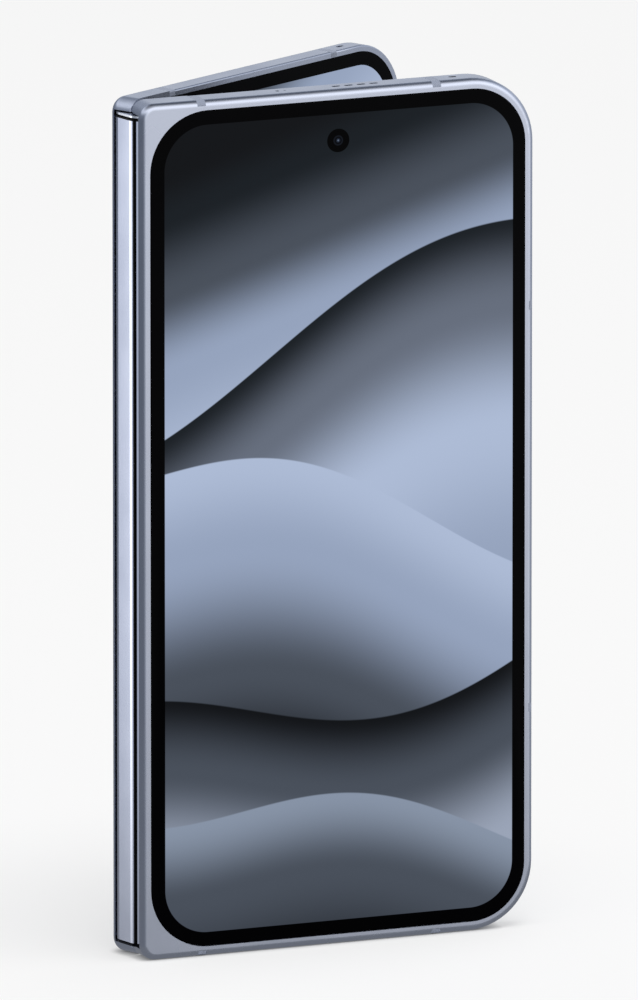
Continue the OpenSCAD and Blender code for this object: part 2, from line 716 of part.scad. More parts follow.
// ---- rear half ----
button_y = 0.4;
power_z = phone_h - band_upper - power_drop;
volume_z = power_z - volume_drop;
island_x1 = x_free - island_side;
island_x0 = island_x1 - island_w;
island_z1 = phone_h - island_top;
island_z0 = island_z1 - island_h;
rear_battery_l = island_z0 - battery_gap - battery_z;
island_cx = (island_x0 + island_x1) / 2;
island_cz = (island_z0 + island_z1) / 2;
window_dz = (island_h - 2 * window_h) / 6 + window_h / 2;
lens_r = window_h / 2 - 1.1;
cameras = [
    [island_cx - lens_pitch / 2, island_cz + window_dz], [island_cx + lens_pitch / 2, island_cz + window_dz],
    [island_cx - lens_pitch / 2, island_cz - window_dz]
];
flash_at = [island_cx + lens_pitch / 2, island_cz - window_dz];
module free_edge_slot(z, l, w, x0) {
    translate([x0, button_y, z]) rotate([0, 90, 0]) linear_extrude(x_free + over - x0)
        rotate(90) rotate(90) stadium(l, w);
}
module usb_shape(grow) { stadium(usb_w + 2 * grow, usb_h + 2 * grow); }
usb_y = cavity_y - seat_gap - usb_h / 2;
speaker_x = usb_w / 2 + 3;
speaker_pitch = 2.2;
speaker_count = 5;
module rear_frame() {
    color("#a8aec0") difference() {
        frame(back_edge_r, back_inset, 6, back_glass_t, rear_stack);
        band_zone(0);
        free_edge_slot(power_z, power_l + 2 * run_gap, button_w + 2 * run_gap, x_free - frame_wall - over);
        free_edge_slot(volume_z, volume_l + 2 * run_gap, button_w + 2 * run_gap, x_free - frame_wall - over);
        free_edge_slot(tray_z, tray_w + 2 * run_gap, button_w + 2 * run_gap, x_free - frame_wall - over);
        // Charging socket and loudspeaker slots in the bottom edge
        translate([0, usb_y, -over]) linear_extrude(inset_in + usb_depth + over) usb_shape(seat_gap);
        for (i = [0 : speaker_count - 1])
            translate([speaker_x + i * speaker_pitch, usb_y, -over])
                linear_extrude(frame_wall + 2 * over) stadium(1.7, 1.1);
        block(speaker_x - 1.4, speaker_x + (speaker_count - 1) * speaker_pitch + 1.4, usb_y - 0.8,
            usb_y + 0.8, 1.5, frame_wall + eps);
        translate([x_hinge + band_far + 4.2, ear_y, phone_h - frame_wall - over])
            linear_extrude(frame_wall + 2 * over) stadium(1.7, slot_w);
    }
}
module rear_antenna_bands() { color("#8b91a3") antenna_bands(back_edge_r); }
module rear_midplate() {
    color("silver") difference() {
        midplate(rear_stack);
        midplate_screws(rear_stack, seat_gap / 2);
        for (p = cameras) spot(p[0], p[1], lens_r + 0.5, face_out, face_in);
        spot(flash_at[0], flash_at[1], 1.6, face_out, face_in);
        translate([0, usb_y, 0]) linear_extrude(inset_in + usb_depth + 1) usb_shape(0.2);
    }
}
module back_glass() {
    color("#9ca3b6") difference() {
        slab(face_out, face_out + back_glass_t) inset_outline(back_inset, x_hinge + back_inset, 6);
        for (p = cameras) spot(p[0], p[1], lens_r + 0.5, face_out - over, face_in);
        spot(flash_at[0], flash_at[1], 1.6, face_out - over, face_in);
    }
}
module island_outline(inset) {
    outline(island_x0 + inset, island_x1 - inset, island_z0 + inset, island_z1 - inset,
        island_r - inset, island_r - inset);
}
module camera_island() {
    y0 = face_out - island_rise;
    color("#b3b9cb") difference() {
        union() {
            slab(y0 + 0.7, face_out - seat_gap / 2) island_outline(0);
            slab(y0 + 0.25, y0 + 0.7 + eps) island_outline(0.3);
            slab(y0, y0 + 0.25 + eps) island_outline(0.8);
        }
        for (dz = [-1, 1]) slab(y0 - over, y0 + 0.8)
            translate([island_cx, island_cz + dz * window_dz]) stadium(window_w, window_h);
        for (p = cameras) spot(p[0], p[1], lens_r + 0.5, y0 - over, face_in);
        spot(flash_at[0], flash_at[1], 1.6, y0 - over, face_in);
    }
}
module island_glass() {
    y0 = face_out - island_rise;
    color("#0b0d12") for (dz = [-1, 1]) slab(y0 + 0.25, y0 + 0.75)
        translate([island_cx, island_cz + dz * window_dz])
            stadium(window_w - 2 * seat_gap, window_h - 2 * seat_gap);
}
module rear_cameras() {
    y0 = face_out - island_rise;
    y_back = face_out + rear_stack + mid_t + 0.1;
    color("#1a1d24") for (p = cameras) {
        spot(p[0], p[1], lens_r, y0 + 0.85, y_back + eps);
        slab(y_back, cavity_y - 0.2) translate([p[0] - lens_r - 0.8, p[1] - lens_r - 0.8])
            square(2 * lens_r + 1.6);
    }
}
module flash_lens() {
    y0 = face_out - island_rise;
    color("#f2eedd") spot(flash_at[0], flash_at[1], 1.5, y0 + 0.85, face_out + rear_stack + mid_t);
}
rear_y0 = face_out + rear_stack + mid_t + 0.1;
board_z0 = battery_z + rear_battery_l + 1.5;
module main_board() {
    x0 = cavity_x + ledge_w + 0.4;
    x1 = x_free - inset_in - 1.5;
    color("#1f4a35") slab(rear_y0 + 1.0, rear_y0 + 1.0 + board_t) difference() {
        translate([x0, board_z0]) square([x1 - x0, phone_h - inset_in - 0.4 - board_z0]);
        translate([island_x0 + 2, island_z0 + 0.5]) square([island_w, phone_h]);
    }
    color("#2c2f36") slab(rear_y0 + 1.0 + board_t, rear_y0 + 1.0 + board_t + 0.5)
        for (z = [board_z0 + 2, board_z0 + 9]) translate([x1 - 12, z]) square([9, 5]);
}
module board_shield() {
    x0 = cavity_x + ledge_w + 1.5;
    color("#c8cbd1") slab(rear_y0 + 0.15, rear_y0 + 1.0 - 0.02)
        translate([x0, board_z0 + 1]) square([26, 14]);
}
module rear_battery() {
    color("#2b2e35") slab(rear_y0 + 0.5, cavity_y - 0.2)
        translate([cavity_x + ledge_w + 4, battery_z]) square([battery_w, rear_battery_l]);
}
coil_at = [cavity_x + ledge_w + 4 + battery_w / 2, battery_z + rear_battery_l / 2];
module charging_coil() {
    color("#b8743a") difference() {
        spot(coil_at.x, coil_at.y, coil_r, rear_y0 + 0.02, rear_y0 + 0.42);
        spot(coil_at.x, coil_at.y, coil_r - 9, rear_y0 - over, rear_y0 + over);
        for (r = [coil_r - 7.5 : 1.5 : coil_r - 1.5]) difference() {
            spot(coil_at.x, coil_at.y, r + 0.12, rear_y0 - over, rear_y0 + 0.2);
            spot(coil_at.x, coil_at.y, r - 0.12, rear_y0 - 2 * over, rear_y0 + over);
        }
    }
}
magnet_r = coil_r + 4;
magnet_count = 18;
module magnet_ring() {
    color("#70747c") difference() {
        spot(coil_at.x, coil_at.y, magnet_r, rear_y0 + 0.02, rear_y0 + 0.42);
        spot(coil_at.x, coil_at.y, magnet_r - 3, rear_y0 - over, rear_y0 + over);
        for (i = [0 : magnet_count - 1])
            translate([coil_at.x, 0, coil_at.y]) rotate([0, i * 360 / magnet_count, 0])
                block(magnet_r - 3.5, magnet_r + over, rear_y0 + 0.2, rear_y0 + over, -0.15, 0.15);
    }
}
module usb_port() {
    color("#b9bcc4") {
        translate([0, usb_y, 0.3]) difference() {
            linear_extrude(inset_in + usb_depth - 0.5) usb_shape(0);
            translate([0, 0, -over]) linear_extrude(usb_depth + over) usb_shape(-0.3);
        }
        translate([-3.3, usb_y - 0.35, 0.9]) cube([6.6, 0.7, usb_depth]);
    }
}
module loudspeaker() {
    x0 = speaker_x - 2;
    l = (speaker_count - 1) * speaker_pitch + 4;
    color("#3a3d45") {
        slab(rear_y0, cavity_y - 0.3) translate([x0, inset_in + 0.5]) square([l, 14]);
        block(speaker_x - 1, x0 + l - 1, usb_y - 0.6, usb_y + 0.6, frame_wall + 0.1, inset_in + 0.5 + eps);
    }
}
module loudspeaker_mesh() {
    x1 = speaker_x + (speaker_count - 1) * speaker_pitch;
    color("#15171c") difference() {
        block(speaker_x - 1.3, x1 + 1.3, usb_y - 0.7, usb_y + 0.7, 1.5 + seat_gap, frame_wall);
        for (x = [speaker_x - 0.8 : 0.55 : x1 + 0.8], dy = [-0.3, 0.3])
            translate([x, usb_y + dy, 0]) cylinder(r = 0.13, h = 4, $fn = 16);
    }
}
module side_button(z, l) {
    x_in = x_free - frame_wall;
    intersection() {
        translate([x_in - 0.1, button_y, z]) rotate([0, 90, 0])
            linear_extrude(frame_wall + button_proud + 0.1) rotate(90) rotate(90) stadium(l, button_w);
        block(x_in - over, x_free + button_proud, -half_t, half_t, z - l, z + l);
    }
    // Flange behind the wall keeps the button in
    block(x_in - 0.55, x_in - seat_gap, button_y - button_w / 2 - 0.15, button_y + button_w / 2 + 0.2,
        z - l / 2 - 0.5, z + l / 2 + 0.5);
}
module power_button() { color("#9aa1b3") on_rear() side_button(power_z, power_l); }
module volume_rocker() { color("#9aa1b3") on_rear() side_button(volume_z, volume_l); }
module side_switches() {
    x1 = x_free - frame_wall - 0.55 - button_travel - 0.02;
    color("#c9a24a") {
        block(x1 - 0.45, x1 - 0.2, button_y - 0.9, button_y + 0.9,
            volume_z - volume_l / 2, power_z + power_l / 2);
        for (z = [power_z, volume_z - volume_l / 4, volume_z + volume_l / 4])
            translate([x1 - 0.2 - eps, button_y, z]) rotate([0, 90, 0]) cylinder(r = 0.8, h = 0.2 + eps);
    }
}
tray_t = 0.9;
module card_tray() {
    x_in = x_free - frame_wall;
    color("#9aa1b3") on_rear() {
        translate([x_in + 0.6, button_y, tray_z]) rotate([0, 90, 0])
            linear_extrude(frame_wall - 0.6) rotate(90) rotate(90) stadium(tray_w, button_w);
        difference() {
            block(x_free - tray_l, x_in + 0.6 + eps, button_y - tray_t / 2, button_y + tray_t / 2,
                tray_z - tray_w / 2 + 0.8, tray_z + tray_w / 2 - 0.8);
            block(x_free - tray_l + 1, x_in - 1, button_y - over, button_y + 0.2,
                tray_z - tray_w / 2 + 1.8, tray_z + tray_w / 2 - 1.8);
        }
    }
}
module card_reader() {
    gap = run_gap;
    x0 = x_free - tray_l - 0.6;
    half_y = tray_t / 2 + 0.35;
    color("#c8cbd1") difference() {
        block(x0, x_free - inset_in - 0.1, button_y - half_y, button_y + half_y,
            tray_z - tray_w / 2, tray_z + tray_w / 2);
        block(x_free - tray_l - gap, x_free, button_y - tray_t / 2 - gap, button_y + tray_t / 2 + gap,
            tray_z - tray_w / 2 + 0.8 - gap, tray_z + tray_w / 2 - 0.8 + gap);
    }
}
module inner_camera() {
    color("#101318") {
        spot(inner_cam.x, inner_cam.y, 1.7, cavity_y - 0.6, display_y + strip_t - 0.02);
        slab(rear_y0 + 2.0, cavity_y - 0.6 + eps)
            translate([inner_cam.x - 2.4, inner_cam.y - 2.4]) square(4.8);
    }
}
module rear_screws() { color("#9a9da6") midplate_screws(rear_stack, 0); }
module rear_support_plate() {
    color("#8f939c") difference() {
        support_plate();
        spot(inner_cam.x, inner_cam.y, 1.8, -half_t, half_t);
    }
}
module rear_inner_display() {
    color("#9fb1cf") difference() {
        inner_display();
        spot(inner_cam.x, inner_cam.y, 1.8, -half_t, half_t);
    }
}
module rear_inner_bezel() { color("#08090c") inner_bezel(); }

cover_frame();
cover_antenna_bands();
cover_midplate();
cover_glass();
cover_display_panel();
cover_camera();
cover_camera_lens();
cover_battery();
earpiece_speaker();
earpiece_mesh();
cover_board();
sub_board();
vibration_motor();
cover_screws();
cover_support_plate();
cover_inner_display();
cover_inner_bezel();
spine_cover();
spine_gaskets();
spine_end_plates();
hinge_brackets();
bracket_screws();
spring_washers();
sync_slider();
cover_shaft();
rear_shaft();
cover_wing_plate();
rear_wing_plate();
fold_display();
fold_flex_cables();
on_rear() rear_frame();
on_rear() rear_antenna_bands();
on_rear() rear_midplate();
on_rear() back_glass();
on_rear() camera_island();
on_rear() island_glass();
on_rear() rear_cameras();
on_rear() flash_lens();
on_rear() main_board();
on_rear() board_shield();
on_rear() rear_battery();
on_rear() charging_coil();
on_rear() magnet_ring();
on_rear() usb_port();
on_rear() loudspeaker();
on_rear() loudspeaker_mesh();
power_button();
volume_rocker();
on_rear() side_switches();
card_tray();
on_rear() card_reader();
on_rear() inner_camera();
on_rear() rear_screws();
on_rear() rear_support_plate();
on_rear() rear_inner_display();
on_rear() rear_inner_bezel();
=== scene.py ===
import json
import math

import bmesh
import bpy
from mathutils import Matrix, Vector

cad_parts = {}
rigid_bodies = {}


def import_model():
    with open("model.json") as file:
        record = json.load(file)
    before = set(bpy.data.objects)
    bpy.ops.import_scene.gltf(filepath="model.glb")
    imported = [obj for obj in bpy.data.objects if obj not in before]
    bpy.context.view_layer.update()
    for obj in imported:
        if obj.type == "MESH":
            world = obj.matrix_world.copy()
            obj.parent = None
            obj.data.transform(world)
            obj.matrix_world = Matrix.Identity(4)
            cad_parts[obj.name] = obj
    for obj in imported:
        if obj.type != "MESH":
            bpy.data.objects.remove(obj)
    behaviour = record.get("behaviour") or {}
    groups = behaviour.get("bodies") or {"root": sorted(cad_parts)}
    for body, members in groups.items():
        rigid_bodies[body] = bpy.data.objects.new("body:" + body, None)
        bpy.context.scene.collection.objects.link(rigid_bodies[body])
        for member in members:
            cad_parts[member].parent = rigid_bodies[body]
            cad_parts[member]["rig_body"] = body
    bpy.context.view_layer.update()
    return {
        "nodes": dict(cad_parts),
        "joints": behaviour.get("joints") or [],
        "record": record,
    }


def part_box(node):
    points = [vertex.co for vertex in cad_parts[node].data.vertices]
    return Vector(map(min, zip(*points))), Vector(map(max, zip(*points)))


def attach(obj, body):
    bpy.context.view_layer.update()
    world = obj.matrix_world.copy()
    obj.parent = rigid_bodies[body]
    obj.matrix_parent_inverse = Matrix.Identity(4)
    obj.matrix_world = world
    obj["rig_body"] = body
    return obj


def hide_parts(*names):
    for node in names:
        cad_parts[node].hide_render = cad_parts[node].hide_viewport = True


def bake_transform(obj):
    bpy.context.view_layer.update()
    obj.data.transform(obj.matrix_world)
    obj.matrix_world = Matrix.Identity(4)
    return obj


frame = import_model()

# %% [markdown]
# # A folding phone, standing half open
# The phone is two thin metal halves on a spine. Its frame comes from the CAD model: every
# CAD node is already here, in metres, riding on the body that moves it. This file gives it
# its looks. It could draw each part again from nothing, but then a slot or a seam might land
# beside the place where the real one works, so the metal starts from the CAD shapes and the
# glass, screens and lenses are modelled new.

MM = 0.001
NODES = frame["nodes"]

# %% [markdown]
# ## Where things are
# The cover half lies along X, so its sizes can be read from its box. The rear half has
# swung open on two hinge axes. It is easiest to draw a rear piece as if the phone were shut,
# on the cover half, and to carry it over with one matrix: a mirror across the middle plane,
# and then a turn about each axis.

# %% Sizes and the two hinge axes
case_low, case_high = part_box("cover_frame")
HALF_WIDTH = case_high.x
OUTER_FACE = case_low.y
INNER_FACE = case_high.y
HEIGHT = case_high.z
JOINTS = {joint["name"]: joint for joint in frame["joints"]}
REST_TURN = math.radians(-JOINTS["spine_fold"]["range_deg"][0])
COVER_AXIS = Vector(JOINTS["spine_fold"]["pos_m"])


def turn_about(point, angle):
    """A turn about the vertical line through a point."""
    return Matrix.Translation(point) @ Matrix.Rotation(angle, 4, "Z") @ Matrix.Translation(-point)


REAR_AXIS_REST = Vector(JOINTS["rear_fold"]["pos_m"])
REAR_AXIS = turn_about(COVER_AXIS, -REST_TURN) @ REAR_AXIS_REST
MIDDLE_Y = (COVER_AXIS.y + REAR_AXIS.y) / 2
PIN_OFFSET = MIDDLE_Y - COVER_AXIS.y
FLIP = (Matrix.Translation((0, MIDDLE_Y, 0)) @ Matrix.Scale(-1, 4, (0, 1, 0))
        @ Matrix.Translation((0, -MIDDLE_Y, 0)))
ON_SPINE = turn_about(COVER_AXIS, REST_TURN)
ON_REAR = ON_SPINE @ turn_about(REAR_AXIS, REST_TURN) @ FLIP
print("each half stands open by", round(math.degrees(REST_TURN), 2), "degrees")

# %% [markdown]
# ## How a piece is finished
# A bmesh is the workbench, and an object is the finished piece. Two helpers turn the first
# into the second: they shade curved stretches smoothly, keep real edges crisp, give the piece
# its finish, say which body carries it and hide the CAD nodes it stands for.

# %% From a bmesh to a riding piece
CRISP_ANGLE = math.radians(32)


def everything(bm):
    """All that a bmesh holds, for operators that take the whole of it."""
    return bm.verts[:] + bm.edges[:] + bm.faces[:]


def shade(bm):
    """Smooth faces, with every real edge kept sharp."""
    for face in bm.faces:
        face.smooth = True
    for edge in bm.edges:
        edge.smooth = len(edge.link_faces) == 2 and edge.calc_face_angle(0) < CRISP_ANGLE


def make_object(bm, name, finish):
    """Turns a bmesh into an object at the origin, with its finish."""
    shade(bm)
    mesh = bpy.data.meshes.new(name)
    bm.to_mesh(mesh)
    bm.free()
    mesh.materials.append(finish)
    piece = bpy.data.objects.new(name, mesh)
    bpy.context.scene.collection.objects.link(piece)
    return piece


def seat(piece, body, slot, *stands_for):
    """Hangs a piece on its body, and hides what it stands for."""
    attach(piece, body)
    if stands_for:
        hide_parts(*stands_for)
    print(piece.name, "rides on", body, "with", len(piece.data.polygons), "faces")
    return piece


# %% [markdown]
# ## Softened edges
# No real edge is a perfect corner: machining leaves a tiny break that catches the light,
# and it is what makes metal look like metal. The CAD mesh is loose triangles, so a copy is
# welded first and its flat triangles are joined. A Bevel modifier then breaks each edge.
# The bevel could be cut by hand, but a modifier follows the shape whenever it changes. The
# rim round the inner screen has a wider bevel of its own, picked out by edge weights.

# %% A copy of a CAD node with broken edges
WELD = 1e-7
FLAT_ANGLE = math.radians(0.4)
NEAR = 0.01 * MM
CASE_CORNER = 12 * MM
RIM_START = -30 * MM
RIM_BREAK = 0.3 * MM
RIM_STEPS = 3
EDGE_BREAK = 0.06 * MM
BREAK_STEPS = 2
EVEN_WEIGHT = 100


def weigh_rim(bm, rest_to_shut):
    """Gives weight to the outline of a half's inner face, away from the hinge."""
    weights = bm.edges.layers.float.new("bevel_weight_edge")
    middle = Vector((0, 0, HEIGHT / 2))
    reach = Vector((HALF_WIDTH - CASE_CORNER, 0, HEIGHT / 2 - CASE_CORNER))
    for edge in bm.edges:
        spots = [rest_to_shut @ vert.co for vert in edge.verts]
        on_rim = []
        for spot in spots:
            over = Vector((max(spot.x - reach.x, 0), 0, max(abs(spot.z - middle.z) - reach.z, 0)))
            on_rim.append(abs(over.length - CASE_CORNER) < NEAR and spot.x > RIM_START
                          and abs(spot.y - INNER_FACE) < NEAR)
        edge[weights] = float(all(on_rim) and edge.calc_face_angle(0) > CRISP_ANGLE)


def welded_copy(node, join_flats=True):
    """A welded copy of a CAD node as a bmesh, with its flat triangles joined."""
    bm = bmesh.new()
    bm.from_mesh(NODES[node].data)
    bmesh.ops.remove_doubles(bm, verts=bm.verts, dist=WELD)
    if join_flats:
        bmesh.ops.dissolve_limit(bm, angle_limit=FLAT_ANGLE, use_dissolve_boundaries=False,
                                 verts=bm.verts, edges=bm.edges, delimit={"NORMAL"})
    return bm


def fill_rims(bm):
    """Closes every open rim with one face."""
    rims = [edge for edge in bm.edges if edge.is_boundary]
    bmesh.ops.holes_fill(bm, edges=rims, sides=0)


def refined(node, finish, slot, edge_break=EDGE_BREAK, rest_to_shut=None):
    """A copy of a CAD node, with its edges broken, in place of the node."""
    bm = welded_copy(node)
    if rest_to_shut:
        weigh_rim(bm, rest_to_shut)
    piece = make_object(bm, node + "_finished", finish)
    if rest_to_shut:
        rounded = piece.modifiers.new("inner rim", "BEVEL")
        rounded.width, rounded.segments = RIM_BREAK, RIM_STEPS
        rounded.limit_method = "WEIGHT"
    broken = piece.modifiers.new("edge break", "BEVEL")
    broken.width = edge_break
    broken.segments = BREAK_STEPS
    broken.limit_method = "ANGLE"
    broken.angle_limit = CRISP_ANGLE
    broken.use_clamp_overlap = True
    even = piece.modifiers.new("even shading", "WEIGHTED_NORMAL")
    even.keep_sharp = True
    even.mode, even.weight = "FACE_AREA", EVEN_WEIGHT
    return seat(piece, NODES[node]["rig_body"], slot, node)


# %% [markdown]
# ## Finishes
# Every finish is a small network of nodes. Anodised metal is blasted with fine beads before
# it is dyed, so it has a grain finer than a hair and slow drifts in its sheen. The pattern
# could be an image, but noise on Object coordinates never repeats and fits any shape.

# %% Colours and node helpers
NOISE_DETAIL = 3.0
NOISE_LOW, NOISE_HIGH = 0.3, 0.7
TINT_SCALE = 45.0
SHEEN_SCALE = 120.0
GRAIN_SCALE = 2600.0
GRAIN_DEPTH = 0.0015 * MM
BUMP_STRENGTH = 0.5


def tint(code):
    """A screen colour such as a0a6b5, as the linear values that shaders use."""
    parts = [int(code[i:i + 2], 16) / 255 for i in (0, 2, 4)]
    linear = [p / 12.92 if p <= 0.04045 else ((p + 0.055) / 1.055) ** 2.4 for p in parts]
    return (*linear, 1.0)


def new_finish(name):
    """An empty node material: its nodes, its links and its shader."""
    finish = bpy.data.materials.new(name)
    finish.use_nodes = True
    nodes = finish.node_tree.nodes
    return finish, nodes, finish.node_tree.links, nodes["Principled BSDF"]


def noise(nodes, links, place, scale):
    """A noise pattern on given coordinates."""
    texture = nodes.new("ShaderNodeTexNoise")
    texture.inputs["Scale"].default_value = scale
    texture.inputs["Detail"].default_value = NOISE_DETAIL
    links.new(place, texture.inputs["Vector"])
    return texture.outputs["Fac"]


def spread(nodes, links, value, low, high):
    """Carries a noise value, which keeps to the middle of 0 to 1, to a new range."""
    ranged = nodes.new("ShaderNodeMapRange")
    ranged.inputs["From Min"].default_value = NOISE_LOW
    ranged.inputs["From Max"].default_value = NOISE_HIGH
    ranged.inputs["To Min"].default_value = low
    ranged.inputs["To Max"].default_value = high
    links.new(value, ranged.inputs["Value"])
    return ranged.outputs["Result"]


def roughen(nodes, links, shader, height, strength, depth):
    """Lets a pattern dent a shader's surface, by up to a depth."""
    bump = nodes.new("ShaderNodeBump")
    bump.inputs["Strength"].default_value = strength
    bump.inputs["Distance"].default_value = depth
    links.new(height, bump.inputs["Height"])
    links.new(bump.outputs["Normal"], shader.inputs["Normal"])


def grained(name, code, metallic, roughness, grain=GRAIN_SCALE, depth=GRAIN_DEPTH,
            stretch=(1, 1, 1), drift=0.04, shift=0.03, coat=0.0, gloss=0.5):
    """A finish with a fine grain, drifting sheen and slight colour variation."""
    finish, nodes, links, shader = new_finish(name)
    place = nodes.new("ShaderNodeTexCoord").outputs["Object"]
    mapping = nodes.new("ShaderNodeMapping")
    mapping.inputs["Scale"].default_value = stretch
    links.new(place, mapping.inputs["Vector"])
    shader.inputs["Metallic"].default_value = metallic
    shader.inputs["Coat Weight"].default_value = coat
    shader.inputs["Specular IOR Level"].default_value = gloss
    colour = tint(code)
    blend = nodes.new("ShaderNodeMix")
    blend.data_type = "RGBA"
    blend.inputs["A"].default_value = [c * (1 - shift) for c in colour[:3]] + [1]
    blend.inputs["B"].default_value = [min(1, c * (1 + shift)) for c in colour[:3]] + [1]
    links.new(noise(nodes, links, place, TINT_SCALE), blend.inputs["Factor"])
    links.new(blend.outputs["Result"], shader.inputs["Base Color"])
    sheen = noise(nodes, links, place, SHEEN_SCALE)
    links.new(spread(nodes, links, sheen, roughness - drift, roughness + drift),
              shader.inputs["Roughness"])
    grains = noise(nodes, links, mapping.outputs["Vector"], grain)
    roughen(nodes, links, shader, grains, BUMP_STRENGTH, depth)
    return finish


# %% [markdown]
# The metals differ by how they were finished: the case is bead-blasted and dyed, the spine
# is polished, the hinge steel is ground along its length, and copper wire is enamelled.

# %% The plain finishes
ALONG = (1, 1, 0.02)
FINISH = {
    "satin_metal": grained("satin anodised metal", "bcc2d2", 1.0, 0.26),
    "band_plastic": grained("moulded band", "8c93a4", 0.0, 0.42, gloss=0.25),
    "polished_spine": grained("polished metal", "cfd3e2", 1.0, 0.13, stretch=ALONG, drift=0.02),
    "bright_metal": grained("bright metal", "d6d8dd", 1.0, 0.2, stretch=ALONG),
    "black_plastic": grained("black plastic", "08080a", 0.0, 0.4, depth=0.01 * MM, gloss=0.12),
    "soft_black": grained("soft black rim", "020203", 0.0, 0.5, gloss=0.04),
    "mesh": grained("woven mesh", "1a1b1e", 0.3, 0.6, grain=2500, depth=0.03 * MM),
    "hinge_steel": grained("ground steel", "777a82", 1.0, 0.32, stretch=ALONG),
    "slider_brass": grained("brass", "cba25a", 1.0, 0.3),
    "plate_metal": grained("stamped sheet", "b6b8be", 1.0, 0.38, stretch=(1, 1, 0.1)),
    "battery_wrap": grained("battery film", "2b2e35", 0.0, 0.35, grain=1500, coat=0.4),
    "circuit_board": grained("solder mask", "1f4a35", 0.0, 0.3, grain=1200, coat=0.6),
    "copper": grained("enamelled copper", "b8743a", 1.0, 0.25, coat=0.3),
    "flex_film": grained("flexible circuit film", "8a5a2a", 0.0, 0.3, coat=0.5),
    "dark_steel": grained("blackened steel and painted shade", "15161b", 1.0, 0.3),
    "flash_lens": grained("frosted lens", "f2eedd", 0.0, 0.45, grain=2500, depth=0.02 * MM),
    "back_glass": grained("satin back glass", "a2a9bb", 0.0, 0.36, depth=0.003 * MM, coat=0.15),
}
print(len(FINISH), "plain finishes")

# %% [markdown]
# ## The wallpaper
# Both screens are lit, and show soft dunes in slate and pale blue. Each dune is a wavy
# crest line with a colour ramp running down from it, and dunes in front cover those behind.
# A picture file could do this, but a handful of sine waves stays sharp at any distance.

# %% Maths and ramps for the dunes
def maths(nodes, links, operation, *values):
    """One Math node, fed by sockets or numbers."""
    node = nodes.new("ShaderNodeMath")
    node.operation = operation
    for socket, value in zip(node.inputs, values):
        if isinstance(value, (int, float)):
            socket.default_value = value
        else:
            links.new(value, socket)
    return node.outputs["Value"]


def clamped(nodes, links, value):
    """A value held between 0 and 1."""
    return maths(nodes, links, "MINIMUM", maths(nodes, links, "MAXIMUM", value, 0.0), 1.0)


def ramp(nodes, links, value, stops):
    """A smooth colour ramp through (place, colour) stops."""
    node = nodes.new("ShaderNodeValToRGB")
    node.color_ramp.interpolation = "EASE"
    marks = node.color_ramp.elements
    for mark, (place, code) in zip(marks, (stops[0], stops[-1])):
        mark.position, mark.color = place, tint(code)
    for place, code in stops[1:-1]:
        marks.new(place).color = tint(code)
    links.new(value, node.inputs["Fac"])
    return node.outputs["Color"]


def mix_colours(nodes, links, share, back, front):
    """front over back, by share."""
    node = nodes.new("ShaderNodeMix")
    node.data_type = "RGBA"
    for socket, value in (("Factor", share), ("A", back), ("B", front)):
        if isinstance(value, tuple):
            node.inputs[socket].default_value = value
        else:
            links.new(value, node.inputs[socket])
    return node.outputs["Result"]


# %% [markdown]
# A crest is base + slope * across + swing * sin(across / wave + phase). All lengths are in
# metres, and the dunes run from the farthest and highest to the nearest.

# %% The dunes
CREST_SOFTNESS = 0.25 * MM
SKY_BASE, SKY_DEPTH = 0.098, 0.055
COVER_LEAN, INNER_LEAN = -6.0, -11.0
DUNES = [  # base, slope, swing, wave, phase, depth of the ramp, ramp from crest downwards
    (0.112, 0.30, 0.009, 0.021, 0.6, 0.062,
     ((0, "1a1f24"), (0.25, "666e7d"), (0.6, "adbbd5"), (1, "95a3bd"))),
    (0.080, -0.22, 0.007, 0.017, 2.1, 0.055,
     ((0, "adbbd5"), (0.3, "95a3bd"), (0.7, "49505b"), (1, "121417"))),
    (0.047, 0.18, 0.008, 0.019, 4.0, 0.044,
     ((0, "121417"), (0.3, "49505b"), (0.7, "9aa4b7"), (1, "adbbd5"))),
    (0.023, -0.16, 0.005, 0.015, 1.2, 0.034,
     ((0, "8793a6"), (0.4, "49505b"), (1, "121417"))),
]
SKY = ((0, "adbbd5"), (0.35, "95a3bd"), (0.6, "49505b"), (0.85, "1a1f24"), (1, "121417"))


def dune_picture(nodes, links, across, up, sky_lean):
    """The wallpaper's colour from two coordinates on the screen."""
    height = maths(nodes, links, "DIVIDE", maths(nodes, links, "SUBTRACT", up, SKY_BASE),
                   SKY_DEPTH)
    lean = maths(nodes, links, "MULTIPLY", across, sky_lean)
    colour = ramp(nodes, links, maths(nodes, links, "ADD", height, lean), SKY)
    for base, slope, swing, wave, phase, depth, stops in DUNES:
        angle = maths(nodes, links, "MULTIPLY_ADD", across, 1 / wave, phase)
        crest = maths(nodes, links, "MULTIPLY_ADD", maths(nodes, links, "SINE", angle), swing, base)
        crest = maths(nodes, links, "MULTIPLY_ADD", across, slope, crest)
        below = maths(nodes, links, "SUBTRACT", crest, up)
        share = clamped(nodes, links, maths(nodes, links, "DIVIDE", below, CREST_SOFTNESS))
        dune = ramp(nodes, links, maths(nodes, links, "DIVIDE", below, depth), stops)
        colour = mix_colours(nodes, links, share, colour, dune)
    return colour


# %% [markdown]
# ## Screen finishes
# A lit screen gives off its own light, so the picture goes to the shader's emission over a
# black base, and the glass over it is a faint smooth gloss: screens have an anti-glare film
# that takes most reflections away. Smudges too faint to see show as small changes in gloss.

# %% A lit screen under glass
GLASS_BLACK = (0.0005, 0.0005, 0.0008, 1)
SCREEN_GLOSS = 0.025
SMUDGE_SCALE = 60.0
SMUDGE_LOW, SMUDGE_HIGH = 0.05, 0.12
RIPPLE_SCALE = 900.0
RIPPLE_STRENGTH = 0.1
RIPPLE_DEPTH = 0.002 * MM
SCREEN_PIXEL = 0.06 * MM


